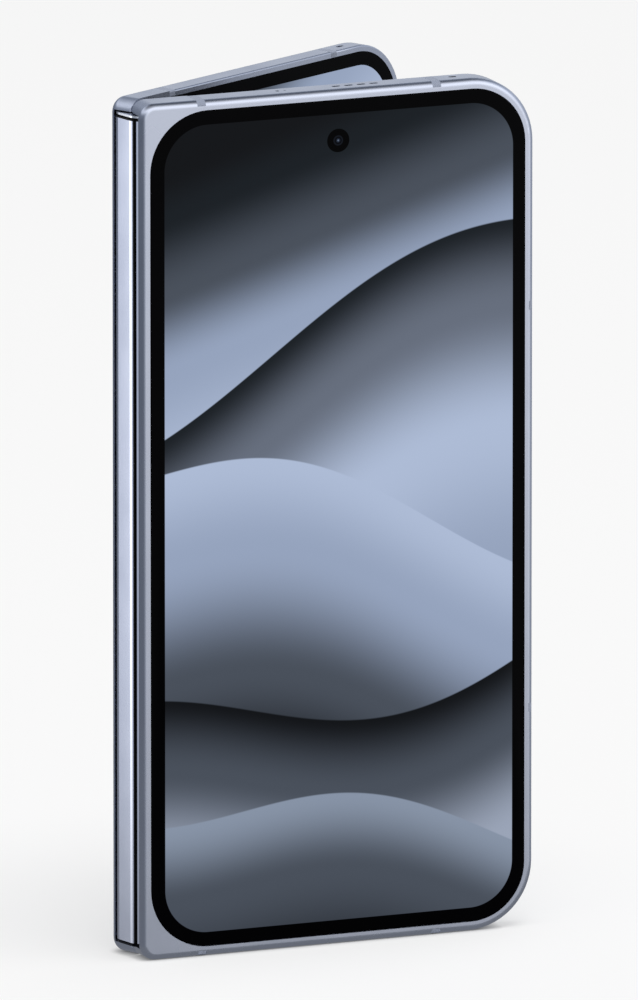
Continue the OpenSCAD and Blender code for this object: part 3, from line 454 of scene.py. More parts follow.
def glass_over(nodes, links, shader, picture):
    """Sets a shader up as black glass over a glowing picture."""
    place = nodes.new("ShaderNodeTexCoord").outputs["Object"]
    shader.inputs["Base Color"].default_value = GLASS_BLACK
    shader.inputs["Specular IOR Level"].default_value = SCREEN_GLOSS
    smudge = noise(nodes, links, place, SMUDGE_SCALE)
    links.new(spread(nodes, links, smudge, SMUDGE_LOW, SMUDGE_HIGH), shader.inputs["Roughness"])
    ripples = noise(nodes, links, place, RIPPLE_SCALE)
    roughen(nodes, links, shader, ripples, RIPPLE_STRENGTH, RIPPLE_DEPTH)
    if picture is not None:
        shader.inputs["Emission Strength"].default_value = 1.0
        links.new(picture, shader.inputs["Emission Color"])


def inside_rounded(nodes, links, across, up, middle, half, radius):
    """1 inside a rounded rectangle and 0 outside it."""
    sides = []
    for value, centre, reach in zip((across, up), middle, half):
        offset = maths(nodes, links, "ABSOLUTE", maths(nodes, links, "SUBTRACT", value, centre))
        sides.append(maths(nodes, links, "MAXIMUM",
                           maths(nodes, links, "SUBTRACT", offset, reach - radius), 0.0))
    squares = [maths(nodes, links, "MULTIPLY", side, side) for side in sides]
    out = maths(nodes, links, "SQRT", maths(nodes, links, "ADD", *squares))
    depth = maths(nodes, links, "SUBTRACT", radius, out)
    return clamped(nodes, links, maths(nodes, links, "DIVIDE", depth, SCREEN_PIXEL))


LIT_INSET_FREE = 4.1 * MM
LIT_INSET_HINGE = 4.45 * MM
LIT_INSET_END = 4.35 * MM
LIT_RADIUS = 8.2 * MM
HOLE_RADIUS = 2.15 * MM
CAMERA_RINGS_AND_GLINT = ((0.95, "12161d"), (0.7, "05060a"), (0.42, "1c2432"), (0.2, "5a6577"))
lens_low, lens_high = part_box("cover_camera_lens")
HOLE = ((lens_low.x + lens_high.x) / 2, (lens_low.z + lens_high.z) / 2)

# %% [markdown]
# The cover screen's picture stops short of the glass edge, and goes dark round the camera.
# The camera is behind the glass, so what shows is a faint ring and a pinpoint of light. Both
# are painted into the screen's glow: the rings are the lens seen darkly, and the pale centre
# is a painted glint.

# %% The cover screen
cover_screen, nodes, links, shader = new_finish("cover screen")
place = nodes.new("ShaderNodeTexCoord").outputs["Object"]
split = nodes.new("ShaderNodeSeparateXYZ")
links.new(place, split.inputs["Vector"])
across, up = split.outputs["X"], split.outputs["Z"]
lit_left, lit_right = -HALF_WIDTH + LIT_INSET_HINGE, HALF_WIDTH - LIT_INSET_FREE
lit = inside_rounded(nodes, links, across, up, ((lit_left + lit_right) / 2, HEIGHT / 2),
                     ((lit_right - lit_left) / 2, HEIGHT / 2 - LIT_INSET_END), LIT_RADIUS)
hole = inside_rounded(nodes, links, across, up, HOLE, (HOLE_RADIUS, HOLE_RADIUS), HOLE_RADIUS)
lit = maths(nodes, links, "MULTIPLY", lit, maths(nodes, links, "SUBTRACT", 1.0, hole))
picture = dune_picture(nodes, links, across, up, COVER_LEAN)
BLACK = (0.0, 0.0, 0.0, 1.0)
colour = mix_colours(nodes, links, lit, BLACK, picture)
# Painted rings round the hole: the lens seen darkly, with a painted glint at its centre.
for ring_radius, code in CAMERA_RINGS_AND_GLINT:
    reach = ring_radius * MM
    ring = inside_rounded(nodes, links, across, up, HOLE, (reach, reach), reach)
    colour = mix_colours(nodes, links, ring, colour, tint(code))
glass_over(nodes, links, shader, colour)
print("the cover screen is lit over", round((lit_right - lit_left) / MM, 1), "mm")

# %% [markdown]
# The inner screen runs across both halves. Its picture is laid out flat, as if the phone
# were open, on a UV map that counts real metres across from the fold line and up. Near the
# top and bottom it stays dark, so that the bezel runs on over the fold.

# %% The inner screen and black glass
inner_screen, nodes, links, shader = new_finish("inner screen")
chart = nodes.new("ShaderNodeUVMap")
chart.uv_map = "open_flat"
split = nodes.new("ShaderNodeSeparateXYZ")
links.new(chart.outputs["UV"], split.inputs["Vector"])
across, up = split.outputs["X"], split.outputs["Y"]
BEZEL_END = 3.6 * MM
lit = maths(nodes, links, "MULTIPLY", maths(nodes, links, "GREATER_THAN", up, BEZEL_END),
            maths(nodes, links, "LESS_THAN", up, HEIGHT - BEZEL_END))
picture = dune_picture(nodes, links, across, up, INNER_LEAN)
glass_over(nodes, links, shader, mix_colours(nodes, links, lit, BLACK, picture))
BLACK_GLASS_GLOSS = 0.3
black_glass, nodes, links, shader = new_finish("black glass")
glass_over(nodes, links, shader, None)
shader.inputs["Specular IOR Level"].default_value = BLACK_GLASS_GLOSS

# %% [markdown]
# ## The two metal frames
# Each half is one milled frame: a thin rounded rim, pockets for the skins and slots for
# sound. Plastic bands cross the rim, because a closed metal ring would block the aerials.
# All of it comes from the CAD nodes, with a fine break on every edge.

# %% Frames and bands
FRAME_BREAK = 0.1 * MM
HAIR_BREAK = 0.03 * MM
SHUT = {"cover": Matrix.Identity(4), "rear": ON_REAR.inverted()}
for half in ("cover", "rear"):
    refined(half + "_frame", FINISH["satin_metal"], "satin_metal", FRAME_BREAK, SHUT[half])
    refined(half + "_antenna_bands", FINISH["band_plastic"], "band_plastic", HAIR_BREAK,
            SHUT[half])

# %% [markdown]
# Inside each hinge corner sits the end of a shaft. The corner is round, so the metal over
# the shaft is thin. A small curved cap closes it: a flat cube is cut into steps, and each
# step is lifted to the height of the corner's arc.

# %% Caps on the hinge corners
HINGE_CORNER = 2.8 * MM
CAP_SIZE = Vector((1.6, 1.4, 0.2)) * MM
CAP_STEPS = 16
PROUD = 0.004 * MM
for half in ("cover", "rear"):
    bm = bmesh.new()
    bmesh.ops.create_cube(bm, size=1, matrix=Matrix.Diagonal((*CAP_SIZE, 1)))
    long_edges = [edge for edge in bm.edges
                  if abs(edge.verts[0].co.x - edge.verts[1].co.x) > WELD]
    bmesh.ops.subdivide_edges(bm, edges=long_edges, cuts=CAP_STEPS, use_grid_fill=True)
    for vert in bm.verts:
        depth = vert.co.z - CAP_SIZE.z / 2
        along = HINGE_CORNER - (COVER_AXIS.x + vert.co.x - case_low.x)
        arc = HEIGHT - HINGE_CORNER + math.sqrt(HINGE_CORNER ** 2 - along ** 2)
        vert.co = (COVER_AXIS.x + vert.co.x, COVER_AXIS.y + vert.co.y, arc + depth + PROUD)
    made = bmesh.ops.duplicate(bm, geom=everything(bm))["geom"]
    lower = [part for part in made if isinstance(part, bmesh.types.BMVert)]
    for vert in lower:
        vert.co.z = HEIGHT - vert.co.z
    if half == "rear":
        bmesh.ops.transform(bm, matrix=ON_REAR, verts=bm.verts)
    bmesh.ops.recalc_face_normals(bm, faces=bm.faces)
    caps = make_object(bm, half + "_corner_caps", FINISH["satin_metal"])
    seat(caps, half + "_half", "satin_metal")

# %% [markdown]
# ## The spine
# The spine is a bright extruded cover with a fine groove down each side. Its polish runs
# along its length, so its grain is stretched. Steel plates and dark gaskets close its ends.
# The upper plate is ground bright, and the one by the table takes a dark finish as painted
# shade at the spine's foot. The spine has a painted shadow lip under the upper plate, for the
# dark gap there, and a painted shade line beside each groove, to widen the groove's dark line,
# so its copy is cut along the edges of the paint and the faces between the cuts take black.

# %% Spine, end plates and gaskets
spine_low, spine_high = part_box("spine_cover")
# Painted shadow: the top of the spine, this far down, takes black for the dark gap under the upper
# plate.
GAP_SHADOW_LIP = 0.3 * MM
GROOVE_AT = 2.9 * MM
GROOVE_WIDTH = 0.33 * MM
# Painted shade: a band this wide beside each groove takes black, widening the groove's dark line.
GROOVE_SHADE_REACH = 0.42 * MM
GROOVE_SHADE_INNER = GROOVE_AT - GROOVE_SHADE_REACH
GROOVE_SHADE_OUTER = GROOVE_AT + GROOVE_WIDTH / 2
FINE_BREAK = 0.05 * MM
spine = refined("spine_cover", FINISH["polished_spine"], "polished_spine", FINE_BREAK)
spine.data.materials.append(FINISH["black_plastic"])
bm = bmesh.new()
bm.from_mesh(spine.data)
off_spine = ON_SPINE.inverted()
cuts = [((0, 0, spine_high.z - GAP_SHADOW_LIP), (0, 0, 1))]
for side in (-1, 1):
    for shade_edge in (GROOVE_SHADE_INNER, GROOVE_SHADE_OUTER):
        cuts.append((ON_SPINE @ Vector((0, MIDDLE_Y + side * shade_edge, 0)),
                     ON_SPINE.to_3x3() @ Vector((0, 1, 0))))
for place, facing in cuts:
    bmesh.ops.bisect_plane(bm, geom=everything(bm), plane_co=place, plane_no=facing)
# The painted shadow lip and the painted shade bands beside the grooves take the black finish.
for face in bm.faces:
    middle = off_spine @ face.calc_center_median()
    in_groove_shade = GROOVE_SHADE_INNER < abs(middle.y - MIDDLE_Y) < GROOVE_SHADE_OUTER
    face.material_index = int(in_groove_shade or middle.z > spine_high.z - GAP_SHADOW_LIP)
bm.to_mesh(spine.data)
bm.free()
# The lower end plate is painted shade: it takes the dark steel finish for the shadow at the spine's
# foot, and only the upper plate is bright metal.
plates = refined("spine_end_plates", FINISH["dark_steel"], "bright_metal", FINE_BREAK)
plates.data.materials.append(FINISH["bright_metal"])
for face in plates.data.polygons:
    face.material_index = int(face.center.z > HEIGHT / 2)
refined("spine_gaskets", FINISH["black_plastic"], "black_plastic", HAIR_BREAK)

# %% [markdown]
# A black bead is laid in each groove as painted shade, to darken the groove's hollow. It is a
# long thin cube, a little narrower than the groove and just below its edge.

# %% Beads of painted shade in the grooves
BEAD_DEPTH = 0.3 * MM
SPINE_RADIUS = 2.35 * MM
SPINE_FLAT = 1.625 * MM
BEAD_SUNK = 0.12 * MM
BEAD_END_GAP = 0.1 * MM
bm = bmesh.new()
for side in (-1, 1):
    reach = math.sqrt(SPINE_RADIUS ** 2 - (GROOVE_AT - SPINE_FLAT) ** 2)
    outer = COVER_AXIS.x - reach + BEAD_SUNK
    middle = Vector((outer + BEAD_DEPTH / 2, MIDDLE_Y + side * GROOVE_AT, HEIGHT / 2))
    size = (BEAD_DEPTH, GROOVE_WIDTH, spine_high.z - spine_low.z - BEAD_END_GAP, 1)
    bmesh.ops.create_cube(bm, size=1, matrix=ON_SPINE @ Matrix.Translation(middle)
                          @ Matrix.Diagonal(size))
seat(make_object(bm, "groove_shade_beads", FINISH["black_plastic"]), "spine", "black_plastic")

# %% [markdown]
# ## The cover glass
# The glass is a thin slab with round corners and a ground edge. A cube is enough to start
# from: its four upright edges take the corner radii, and its front rim a narrow round.
# The corners are tighter on the free side, where they follow the case.

# %% A rounded slab, and the cover glass
CORNER_STEPS = 24
GLASS_INSET = 1.8 * MM
FREE_CORNER = 12 * MM
GLASS_HINGE_CORNER = 11 * MM
GLASS_THICKNESS = 0.5 * MM
GLASS_EDGE = 0.2 * MM
ROUND_PROFILE = 0.5
ROUND_STEPS = 3
TILTED = 0.1


def rounded_off(bm, edges, width, steps):
    """Bevels edges to an arc."""
    bmesh.ops.bevel(bm, geom=edges, offset=width, segments=steps, profile=ROUND_PROFILE,
                    affect="EDGES", clamp_overlap=False, material=-1)


def slab(left, right, bottom, top, front, back, hinge_radius, free_radius):
    """A slab facing -Y with round corners, as a bmesh."""
    bm = bmesh.new()
    size = Vector((right - left, back - front, top - bottom))
    middle = Vector((left + right, front + back, bottom + top)) / 2
    bmesh.ops.create_cube(bm, size=1, matrix=Matrix.Translation(middle) @ Matrix.Diagonal((*size, 1)))
    for radius, side in ((hinge_radius, left), (free_radius, right)):
        corners = [edge for edge in bm.edges
                   if all(abs(v.co.x - side) < WELD for v in edge.verts)
                   and abs(edge.verts[0].co.z - edge.verts[1].co.z) < WELD]
        rounded_off(bm, corners, radius, CORNER_STEPS)
    return bm


def round_front(bm, front, width):
    """Rounds the rim of a slab's front face."""
    rim = [edge for edge in bm.edges
           if all(abs(v.co.y - front) < WELD for v in edge.verts)
           and any(abs(abs(face.normal.y) - 1) > TILTED for face in edge.link_faces)]
    rounded_off(bm, rim, width, ROUND_STEPS)


bm = slab(-HALF_WIDTH + GLASS_INSET, HALF_WIDTH - GLASS_INSET, GLASS_INSET, HEIGHT - GLASS_INSET,
          OUTER_FACE, OUTER_FACE + GLASS_THICKNESS, GLASS_HINGE_CORNER, FREE_CORNER - GLASS_INSET)
bm.normal_update()
round_front(bm, OUTER_FACE, GLASS_EDGE)
seat(make_object(bm, "cover_glass_pane", cover_screen), "cover_half", "black_glass", "cover_glass")

# %% [markdown]
# ## The inner screen
# The flat parts of the inner screen are copies of their CAD nodes, because a camera hole
# and round corners are already cut there. Each copy gets its own chart of metres across
# from the fold line, so that the dunes run over both halves without a break.

# %% Flat parts of the inner screen
BEND_REACH = 8.3 * MM
CHART_START = COVER_AXIS.x - PIN_OFFSET


def chart_flat(bm, place_back, side):
    """Lays out faces as on the open screen: metres from the fold line, and metres up."""
    chart = bm.loops.layers.uv.new("open_flat")
    for face in bm.faces:
        for corner in face.loops:
            shut = place_back @ corner.vert.co
            corner[chart].uv = (side * (shut.x - CHART_START), shut.z)


screen_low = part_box("cover_inner_display")[0]
print("the flat screen starts", round((screen_low.x - CHART_START) / MM, 2), "mm from the fold")
for node, place_back, side in (("cover_inner_display", Matrix.Identity(4), -1),
                               ("rear_inner_display", ON_REAR.inverted(), 1)):
    bm = welded_copy(node)
    chart_flat(bm, place_back, side)
    seat(make_object(bm, node + "_lit", inner_screen), NODES[node]["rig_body"], "display_panel", node)
for half in ("cover", "rear"):
    refined(half + "_inner_bezel", FINISH["soft_black"], "black_plastic")

# %% [markdown]
# ## The bending screen
# Between the flat parts the screen bends, by a motion that turns smoothly from the spine's
# to each half's. It is drawn here as two strips, each shaped as a blend over one hinge. A
# strip begins as one upright edge. The edge is extruded step by step along the curve that
# the screen takes half open. The line of the blend leans outward, which keeps the strip
# within 0.13 mm of flat when the phone is open, and the picture's chart is read off that
# open shape.

# %% The curve of the half-open screen
STRIP_STEPS = 28
SCREEN_DEPTH = 0.15 * MM
SCREEN_THICKNESS = 0.4 * MM
STRIP_LOW = 2.5 * MM
STRIP_LEAN = 0.9
CLOSE_TURN = math.pi / 2 - REST_TURN
FOLD_X = COVER_AXIS.x + PIN_OFFSET - (MIDDLE_Y - INNER_FACE)


def eased(share):
    """A share held between 0 and 1, with a soft start and end."""
    share = min(max(share, 0), 1)
    return share * share * (3 - 2 * share)


def strip_point(distance, side, depth):
    """Where a point of the open screen goes, at rest. Side is -1 on the cover half."""
    flat = Vector((FOLD_X - depth, MIDDLE_Y + side * distance, 0))
    axis = COVER_AXIS if side < 0 else REAR_AXIS
    pivot = Vector((axis.x, axis.y, 0))
    share = eased((distance - PIN_OFFSET) / (BEND_REACH - PIN_OFFSET))
    held = turn_about(pivot, -side * CLOSE_TURN) @ flat
    return ON_SPINE @ flat.lerp(held, share)


def blend_line(side):
    """The rest line along which a strip passes from the spine's motion to a half's."""
    start = strip_point(PIN_OFFSET, side, SCREEN_DEPTH)
    facing = ON_SPINE.to_3x3() @ Vector((1, side * STRIP_LEAN, 0)).normalized()
    reach = strip_point(BEND_REACH, side, SCREEN_DEPTH) - start
    return start, start + facing * reach.dot(facing)


def laid_open(point, side):
    """Where a point of a strip lies when the phone is open, measured from the fold line."""
    start, end = blend_line(side)
    line = end - start
    share = eased((point - start).dot(line) / line.length_squared)
    axis = COVER_AXIS if side < 0 else REAR_AXIS
    here = ON_SPINE.inverted() @ point
    opened = turn_about(Vector((axis.x, axis.y, 0)), side * CLOSE_TURN) @ here
    return here.lerp(opened, share).y - MIDDLE_Y


def bending_strip(side, half_body, name):
    """One side of the bending screen, blended between the spine and a half."""
    bm = bmesh.new()
    chart = bm.loops.layers.uv.new("open_flat")
    steps = [BEND_REACH * i / STRIP_STEPS for i in range(STRIP_STEPS + 1)]
    points = [strip_point(step, side, SCREEN_DEPTH) for step in steps]
    ends = [bm.verts.new((*points[0].xy, z)) for z in (STRIP_LOW, HEIGHT - STRIP_LOW)]
    edge = bm.edges.new(ends)
    walk = {ends[0]: 0.0, ends[1]: 0.0}
    for before, after in zip(points, points[1:]):
        made = bmesh.ops.extrude_edge_only(bm, edges=[edge])["geom"]
        edge = next(part for part in made if isinstance(part, bmesh.types.BMEdge)
                    and all(v in made for v in part.verts))
        for vert in edge.verts:
            vert.co += after - before
            walk[vert] = laid_open(after, side)
    for face in bm.faces:
        for corner in face.loops:
            corner[chart].uv = (walk[corner.vert], corner.vert.co.z)
    bmesh.ops.recalc_face_normals(bm, faces=bm.faces)
    outward = ON_SPINE.to_3x3() @ Vector((1, 0, 0))
    if bm.faces[:][0].normal.dot(outward) < 0:
        bmesh.ops.reverse_faces(bm, faces=bm.faces)
    piece = make_object(bm, name, inner_screen)
    thick = piece.modifiers.new("screen thickness", "SOLIDIFY")
    thick.thickness = SCREEN_THICKNESS
    thick.offset = -1
    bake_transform(piece)
    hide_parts("fold_display")
    print(name, "bends between the spine and", half_body, "over", len(piece.data.polygons), "faces")


bending_strip(-1, "cover_half", "bending_screen_cover")
bending_strip(1, "rear_half", "bending_screen_rear")

# %% [markdown]
# ## The back
# The back carries a pane of satin glass and a raised island. The island's lenses sit in two
# dark windows. A lens is a stack of rings around a dark dome, and all of it is round, so a
# profile spun about its axis makes each part in one step.

# %% Island, windows, buttons and socket
BACK_BREAK = 0.15 * MM
ISLAND_BREAK = 0.12 * MM
BUTTON_BREAK = 0.08 * MM
SOCKET_BREAK = 0.04 * MM
refined("back_glass", FINISH["back_glass"], "back_glass", BACK_BREAK)
refined("camera_island", FINISH["satin_metal"], "satin_metal", ISLAND_BREAK)
refined("island_glass", black_glass, "black_glass", FINE_BREAK)
for button in ("power_button", "volume_rocker", "card_tray"):
    refined(button, FINISH["satin_metal"], "satin_metal", BUTTON_BREAK)
refined("usb_port", FINISH["bright_metal"], "bright_metal", SOCKET_BREAK)

# %% Places of the rear lenses
place_shut = ON_REAR.inverted()
island = [place_shut @ vert.co for vert in NODES["island_glass"].data.vertices]
glass_front = min(point.y for point in island)
island_left, island_right = min(p.x for p in island), max(p.x for p in island)
island_low, island_high = min(p.z for p in island), max(p.z for p in island)
island_x = (island_left + island_right) / 2
LENS_PITCH = 19 * MM
WINDOW_HEIGHT = 11 * MM
row_high = island_high - WINDOW_HEIGHT / 2
row_low = island_low + WINDOW_HEIGHT / 2
LENSES = [(island_x - LENS_PITCH / 2, row_high), (island_x + LENS_PITCH / 2, row_high),
          (island_x - LENS_PITCH / 2, row_low)]
print("rear lenses at", [(round(x / MM, 1), round(z / MM, 1)) for x, z in LENSES])

# %% [markdown]
# Each profile is a few points, given as radius and height above the window. It is spun a
# full turn about the lens axis and welded where it meets itself.

# %% Lens rings and domes
LENS_STEPS = 64
SPIN_WELD = 1e-6
RING_PROFILE = ((4.3, 0.0), (4.3, 0.12), (4.18, 0.18), (3.9, 0.18), (3.75, 0.1), (3.75, 0.0))
INNER_PROFILE = ((3.0, 0.0), (3.0, 0.06), (2.6, 0.03), (2.6, 0.0))
DOME_PROFILE = ((0.0, 0.12), (0.8, 0.11), (1.5, 0.07), (2.1, 0.0))


def spun(profile, spots, name, finish, slot, closed):
    """A round part at each spot on the island, from its profile in mm."""
    bm = bmesh.new()
    for x, z in spots:
        centre = Vector((x, glass_front, z))
        verts = [bm.verts.new(centre + Vector((r, -h, 0)) * MM) for r, h in profile]
        pairs = list(zip(verts, verts[1:])) + ([(verts[-1], verts[0])] if closed else [])
        edges = [bm.edges.new(pair) for pair in pairs]
        bmesh.ops.spin(bm, geom=verts + edges, cent=centre, axis=(0, 1, 0), angle=2 * math.pi,
                       steps=LENS_STEPS, use_merge=True, use_duplicate=False)
    bmesh.ops.remove_doubles(bm, verts=bm.verts, dist=SPIN_WELD)
    if not closed:
        fill_rims(bm)
    bmesh.ops.transform(bm, matrix=ON_REAR, verts=bm.verts)
    bmesh.ops.recalc_face_normals(bm, faces=bm.faces)
    seat(make_object(bm, name, finish), "rear_half", slot)


LENS_COLOUR = (0.004, 0.006, 0.014, 1)
LENS_GLOSS = 0.6
LENS_COAT = 0.5
lens_dark, nodes, links, shader = new_finish("coated lens")
glass_over(nodes, links, shader, None)
shader.inputs["Base Color"].default_value = LENS_COLOUR
shader.inputs["Specular IOR Level"].default_value = LENS_GLOSS
shader.inputs["Coat Weight"].default_value = LENS_COAT
spun(RING_PROFILE, LENSES, "lens_rings", FINISH["bright_metal"], "bright_metal", True)
spun(INNER_PROFILE, LENSES, "lens_inner_rings", FINISH["black_plastic"], "black_plastic", True)
spun(DOME_PROFILE, LENSES, "lens_domes", lens_dark, "black_glass", False)
FLASH_PROFILE = ((0.0, 0.08), (1.1, 0.07), (1.5, 0.0))
spun(FLASH_PROFILE, [(island_x + LENS_PITCH / 2, row_low)], "flash_cover",
     FINISH["flash_lens"], "flash_lens", False)

# %% [markdown]
# ## What is inside
# The rest of the CAD nodes are inner parts: boards, cells, screws, shafts. Their shapes
# are right as they are, so each only gets the finish of its material slot. Only the two
# shafts are copied, to end a little sooner under the caps of the hinge corners.

# %% Finishes for the inner parts
SLOT_OF = {part["node"]: part["material_slot"] for part in frame["record"]["subparts"]}
SHAFT_END = 1.35 * MM
for name in ("cover_shaft", "rear_shaft"):
    bm = welded_copy(name, join_flats=False)
    for height, facing in ((SHAFT_END, -1), (HEIGHT - SHAFT_END, 1)):
        bmesh.ops.bisect_plane(bm, geom=everything(bm), plane_co=(0, 0, height),
                               plane_no=(0, 0, facing), clear_outer=True)
        fill_rims(bm)
    bmesh.ops.recalc_face_normals(bm, faces=bm.faces)
    seat(make_object(bm, name + "_trimmed", FINISH[SLOT_OF[name]]), NODES[name]["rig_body"],
         SLOT_OF[name], name)
FINISH["black_glass"] = black_glass
FINISH["display_panel"] = black_glass
kept = 0
for name, node in NODES.items():
    if node.hide_render:
        continue
    finish = FINISH[SLOT_OF[name]]
    if node.data.materials:
        for index in range(len(node.data.materials)):
            node.data.materials[index] = finish
    else:
        node.data.materials.append(finish)
    kept += 1
print(kept, "CAD nodes keep their shapes and get a finish")

# %% [markdown]
# ## The studio
# A pale floor runs out past the edge of the view. Its colour does the work of a white
# background, so no light has to be wasted on it. The camera and anything shiny see the
# plain pale colour, mixed with a little of the lit floor to keep the soft shadow. Close
# under the phone the plain colour dims too, for a firm contact shadow.

# %% Floor
PAPER = tint("f9f9f9")
FLOOR_RADIUS = 3.0
FLOOR_SEGMENTS = 96
FLOOR_ROUGHNESS = 0.9
LIT_SHARE = 0.4
CONTACT_REACH = 1.8 * MM
CONTACT_DEPTH = 0.6


def background_rays(nodes, links):
    """1 for rays that show the background: from the camera, gloss or clear glass."""
    ray = nodes.new("ShaderNodeLightPath").outputs
    shown = maths(nodes, links, "MAXIMUM", ray["Is Camera Ray"], ray["Is Glossy Ray"])
    return maths(nodes, links, "MAXIMUM", shown, ray["Is Transmission Ray"])


bm = bmesh.new()
bmesh.ops.create_circle(bm, cap_ends=True, segments=FLOOR_SEGMENTS, radius=FLOOR_RADIUS)
floor_paper, nodes, links, shader = new_finish("floor paper")
shader.inputs["Base Color"].default_value = PAPER
shader.inputs["Roughness"].default_value = FLOOR_ROUGHNESS
shader.inputs["Specular IOR Level"].default_value = 0.0
glow = nodes.new("ShaderNodeEmission")
glow.inputs["Color"].default_value = PAPER
contact = nodes.new("ShaderNodeAmbientOcclusion")
contact.inputs["Distance"].default_value = CONTACT_REACH
links.new(maths(nodes, links, "POWER", contact.outputs["AO"], CONTACT_DEPTH),
          glow.inputs["Strength"])
mixed = nodes.new("ShaderNodeMixShader")
links.new(maths(nodes, links, "MULTIPLY", background_rays(nodes, links), 1 - LIT_SHARE),
          mixed.inputs["Fac"])
links.new(shader.outputs["BSDF"], mixed.inputs[1])
links.new(glow.outputs["Emission"], mixed.inputs[2])
links.new(mixed.outputs["Shader"], nodes["Material Output"].inputs["Surface"])
floor = make_object(bm, "floor", floor_paper)
floor.visible_glossy = False

# %% [markdown]
# ## Light
# Dull surfaces are lit by an even world and two large soft boxes. Metal is different: it
# shows whatever stands around it. So a round tent stands around the phone, which only
# reflections see, with bright and dark panels. Lamps and tent are hidden from the camera, so
# that the phone can be seen from any side. The front box stands low, and would burn out the
# floor beside it, so the floor is left out of its light.

# %% World and soft boxes
WORLD_LEVEL = 0.3
scene = bpy.context.scene
world = bpy.data.worlds.new("studio")
scene.world = world
world.use_nodes = True
nodes, links = world.node_tree.nodes, world.node_tree.links
nodes["Background"].inputs["Color"].default_value = PAPER
nodes["Background"].inputs["Strength"].default_value = 1.0
dimmed = nodes.new("ShaderNodeBackground")
dimmed.inputs["Color"].default_value = (1, 1, 1, 1)
dimmed.inputs["Strength"].default_value = WORLD_LEVEL
chosen = nodes.new("ShaderNodeMixShader")
links.new(background_rays(nodes, links), chosen.inputs["Fac"])
links.new(dimmed.outputs["Background"], chosen.inputs[1])
links.new(nodes["Background"].outputs["Background"], chosen.inputs[2])
links.new(chosen.outputs["Shader"], nodes["World Output"].inputs["Surface"])

AIM = Vector((0.0, 0.01, HEIGHT / 2))


def soft_box(name, direction, elevation, distance, width, height, power):
    """A soft lamp facing the phone. Direction 0 is +X and 90 is +Y, in degrees."""
    a, e = math.radians(direction), math.radians(elevation)
    out = Vector((math.cos(a) * math.cos(e), math.sin(a) * math.cos(e), math.sin(e)))
    data = bpy.data.lights.new(name, "AREA")
    data.shape, data.size, data.size_y, data.energy = "RECTANGLE", width, height, power
    lamp = bpy.data.objects.new(name, data)
    scene.collection.objects.link(lamp)
    lamp.location = AIM + out * distance
    lamp.rotation_mode, lamp.rotation_quaternion = "QUATERNION", out.to_track_quat("Z", "Y")
    lamp.visible_camera = lamp.visible_glossy = False
    return lamp


def light_only(source, name, pieces, link_state="INCLUDE"):
    """Lets a lamp or a glowing piece light only some pieces, or all but them."""
    group = bpy.data.collections.new(name)
    for piece in pieces:
        group.objects.link(piece)
    for entry in group.collection_objects:
        entry.light_linking.link_state = link_state
    source.light_linking.receiver_collection = group


# name: direction and elevation in degrees, distance, width and height in metres, watts
SOFT_BOXES = {"top_box": (-70, 80, 4.0, 3.0, 2.6, 138), "front_box": (-50, 20, 1.8, 1.2, 1.6, 9)}
lamps = {name: soft_box(name, *sizes) for name, sizes in SOFT_BOXES.items()}
light_only(lamps["front_box"], "all but the floor", [floor], "EXCLUDE")

# %% [markdown]
# The tent is a sphere whose glow depends on direction. One ramp runs around it at eye
# level and one around it overhead. Two more change them with height, and bring them down
# to an even dark level where the table would be. Before one sector hangs a clear cloth
# that only the polished spine sees, by light linking, with a tall bright strip. It draws
# the white line down the spine, and leaves the satin edges beside it dark.

# %% The tent of panels
TENT_RADIUS = 0.7
TENT_SEGMENTS = 64
CLOTH_RADIUS = 0.97 * TENT_RADIUS
FULL_TURN = 360
# Around and overhead, each stop is an angle in degrees from +X and a level.
AROUND = ((0, 0.5), (68, 0.55), (82, 0.45), (95, 0.24), (225, 0.22), (248, 0.6), (266, 1.05),
          (280, 0.97), (292, 0.97), (306, 1.15), (324, 1.2), (342, 0.6), (360, 0.5))
AROUND_SPINE = ((0, 0.5), (143.5, 0.57), (146, 1.8), (167, 1.8), (174, 0.2), (204, 0.2),
                (226, 0.43), (246, 0.3))
OVERHEAD = ((0, 0.4), (30, 0.22), (85, 0.22), (108, 0.45), (130, 0.65), (200, 0.7),
            (250, 0.95), (320, 0.95), (345, 0.6), (360, 0.4))
# Up the ball, from 0 at its foot to 1 at its top, each stop is a height and a level or share.
HEIGHTS = ((0.44, 1.0), (0.54, 1.1), (0.66, 1.4), (0.76, 1.7), (0.88, 1.6), (0.96, 0.6),
           (1.0, 0.4))
TABLE_SHARE = ((0.28, 1.0), (0.34, 0.8), (0.368, 0.22), (0.393, 0.05), (0.44, 0.0))
TABLE_LEVEL = 0.28
SECTOR_FROM, SECTOR_TO = 136.5, 246.0
SECTOR_LOW, SECTOR_HIGH = -0.5, 0.3
OVERHEAD_FROM, OVERHEAD_FULL = 0.42, 0.62
BRIGHTEST = 2.0
COOL = (0.78, 0.86, 1.0)
COOL_BELOW, WHITE_ABOVE = 0.24, 0.9
TABLE_TINT = (0.93, 0.96, 1.0)


def cool(level):
    """A level's colour: dark cards are a little blue, bright ones are white."""
    share = min(max((level - COOL_BELOW) / (WHITE_ABOVE - COOL_BELOW), 0), 1)
    return [level * (part + (1 - part) * share) for part in COOL]


def plain(level):
    """A level as a neutral grey."""
    return [level] * 3


def levels(nodes, links, value, stops, turn=1.0, colour_of=plain):
    """A ramp of levels, up to BRIGHTEST, over (place, level) stops."""
    node = nodes.new("ShaderNodeValToRGB")
    marks = node.color_ramp.elements
    marks[0].position, marks[1].position = stops[0][0] / turn, stops[-1][0] / turn
    for place, level in stops[1:-1]:
        marks.new(place / turn)
    for mark, (place, level) in zip(marks, stops):
        mark.position = place / turn
        mark.color = (*[part / BRIGHTEST for part in colour_of(level)], 1)
    links.new(value, node.inputs["Fac"])
    return node.outputs["Color"]


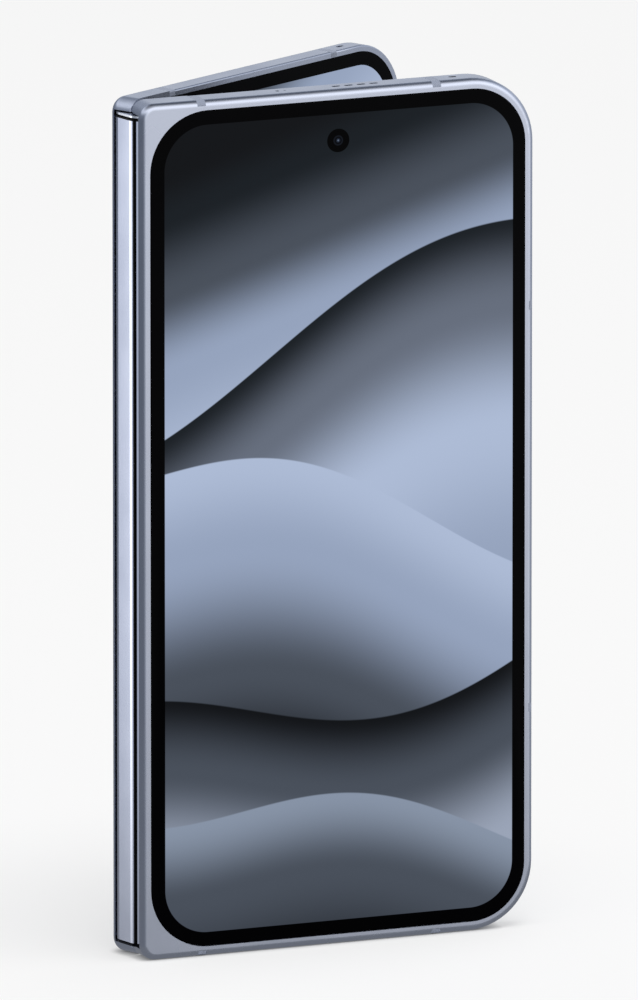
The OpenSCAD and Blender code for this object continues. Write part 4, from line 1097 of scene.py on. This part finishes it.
def tent_finish(name, around, table_level, clear):
    """A cloth that glows with direction as seen from AIM. Clear cloth only adds its glow."""
    cloth, nodes, links, shader = new_finish(name)
    away = nodes.new("ShaderNodeVectorMath")
    away.operation = "SUBTRACT"
    away.inputs[1].default_value = AIM
    links.new(nodes.new("ShaderNodeTexCoord").outputs["Object"], away.inputs[0])
    split = nodes.new("ShaderNodeSeparateXYZ")
    links.new(away.outputs["Vector"], split.inputs["Vector"])
    turned = maths(nodes, links, "ARCTAN2", split.outputs["Y"], split.outputs["X"])
    turned = maths(nodes, links, "FRACT", maths(nodes, links, "DIVIDE", turned, 2 * math.pi))
    climb = maths(nodes, links, "DIVIDE", split.outputs["Z"], TENT_RADIUS)
    high = maths(nodes, links, "SUBTRACT", climb, OVERHEAD_FROM)
    high = maths(nodes, links, "DIVIDE", high, OVERHEAD_FULL - OVERHEAD_FROM)
    high = clamped(nodes, links, high)
    panel = mix_colours(nodes, links, high, levels(nodes, links, turned, around, FULL_TURN, cool),
                        levels(nodes, links, turned, OVERHEAD, FULL_TURN, cool))
    rise = maths(nodes, links, "MULTIPLY_ADD", climb, 0.5, 0.5)  # 0 at the foot, 1 at the top
    lift = nodes.new("ShaderNodeVectorMath")
    lift.operation = "MULTIPLY"
    links.new(panel, lift.inputs[0])
    links.new(levels(nodes, links, rise, HEIGHTS), lift.inputs[1])
    full = nodes.new("ShaderNodeVectorMath")
    full.operation = "SCALE"
    full.inputs["Scale"].default_value = BRIGHTEST * BRIGHTEST
    links.new(lift.outputs["Vector"], full.inputs[0])
    shares = [(place, share * BRIGHTEST) for place, share in TABLE_SHARE]
    glow = nodes.new("ShaderNodeEmission")
    links.new(mix_colours(nodes, links, levels(nodes, links, rise, shares),
                          full.outputs["Vector"], (*[table_level * part for part in TABLE_TINT], 1)),
              glow.inputs["Color"])
    surface = glow.outputs["Emission"]
    if clear:
        both = nodes.new("ShaderNodeAddShader")
        links.new(surface, both.inputs[0])
        links.new(nodes.new("ShaderNodeBsdfTransparent").outputs["BSDF"], both.inputs[1])
        surface = both.outputs["Shader"]
    links.new(surface, nodes["Material Output"].inputs["Surface"])
    return cloth


def cut(bm, normal, away=0.0):
    """Keeps what lies against a normal, from a plane some way from AIM."""
    bmesh.ops.bisect_plane(bm, geom=everything(bm), plane_co=AIM + Vector(normal) * away,
                           plane_no=normal, clear_outer=True)


def panels(name, cloth, radius, is_sector=False):
    """A ball of tent cloth round AIM, or a sector of one, seen only by reflections."""
    bm = bmesh.new()
    bmesh.ops.create_uvsphere(bm, u_segments=TENT_SEGMENTS, v_segments=TENT_SEGMENTS // 2,
                              radius=radius, matrix=Matrix.Translation(AIM))
    if is_sector:
        start, end = math.radians(SECTOR_FROM), math.radians(SECTOR_TO)
        cut(bm, (math.sin(start), -math.cos(start), 0))
        cut(bm, (-math.sin(end), math.cos(end), 0))
        cut(bm, (0, 0, 1), SECTOR_HIGH * radius)
        cut(bm, (0, 0, -1), -SECTOR_LOW * radius)
    piece = make_object(bm, name, cloth)
    piece.visible_camera = piece.visible_diffuse = piece.visible_shadow = False
    piece.visible_transmission = False
    return piece


panels("tent", tent_finish("tent cloth", AROUND, TABLE_LEVEL, False), TENT_RADIUS)
strip = panels("spine_strip", tent_finish("strip cloth", AROUND_SPINE, 0.0, True),
               CLOTH_RADIUS, True)
light_only(strip, "polished spine", [spine, plates])

# %% [markdown]
# ## Camera
# A very long lens keeps upright edges parallel, as in a catalogue picture. The camera
# looks down a little, from the hinge side.

# %% Camera and colour
LENS = 1000
SENSOR = 36
NEAREST, FARTHEST = 0.1, 30
CAMERA_AZIMUTH = math.radians(-22.096)
CAMERA_ELEVATION = math.radians(12.384)
CAMERA_DISTANCE = 4.94943
AIM_RIGHT = -0.002429
AIM_UP = 0.078502
cos_a, sin_a = math.cos(CAMERA_AZIMUTH), math.sin(CAMERA_AZIMUTH)
cos_e, sin_e = math.cos(CAMERA_ELEVATION), math.sin(CAMERA_ELEVATION)
right = Vector((cos_a, sin_a, 0))
upward = Vector((-sin_a * sin_e, cos_a * sin_e, cos_e))
back = Vector((sin_a * cos_e, -cos_a * cos_e, sin_e))
lens = bpy.data.cameras.new("camera")
lens.lens = LENS
lens.sensor_width = SENSOR
lens.clip_start, lens.clip_end = NEAREST, FARTHEST
camera = bpy.data.objects.new("camera", lens)
scene.collection.objects.link(camera)
camera.location = right * AIM_RIGHT + upward * AIM_UP + back * CAMERA_DISTANCE
camera.rotation_mode = "QUATERNION"
camera.rotation_quaternion = (-back).to_track_quat("-Z", "Y")
scene.camera = camera
scene.view_settings.view_transform = "Standard"
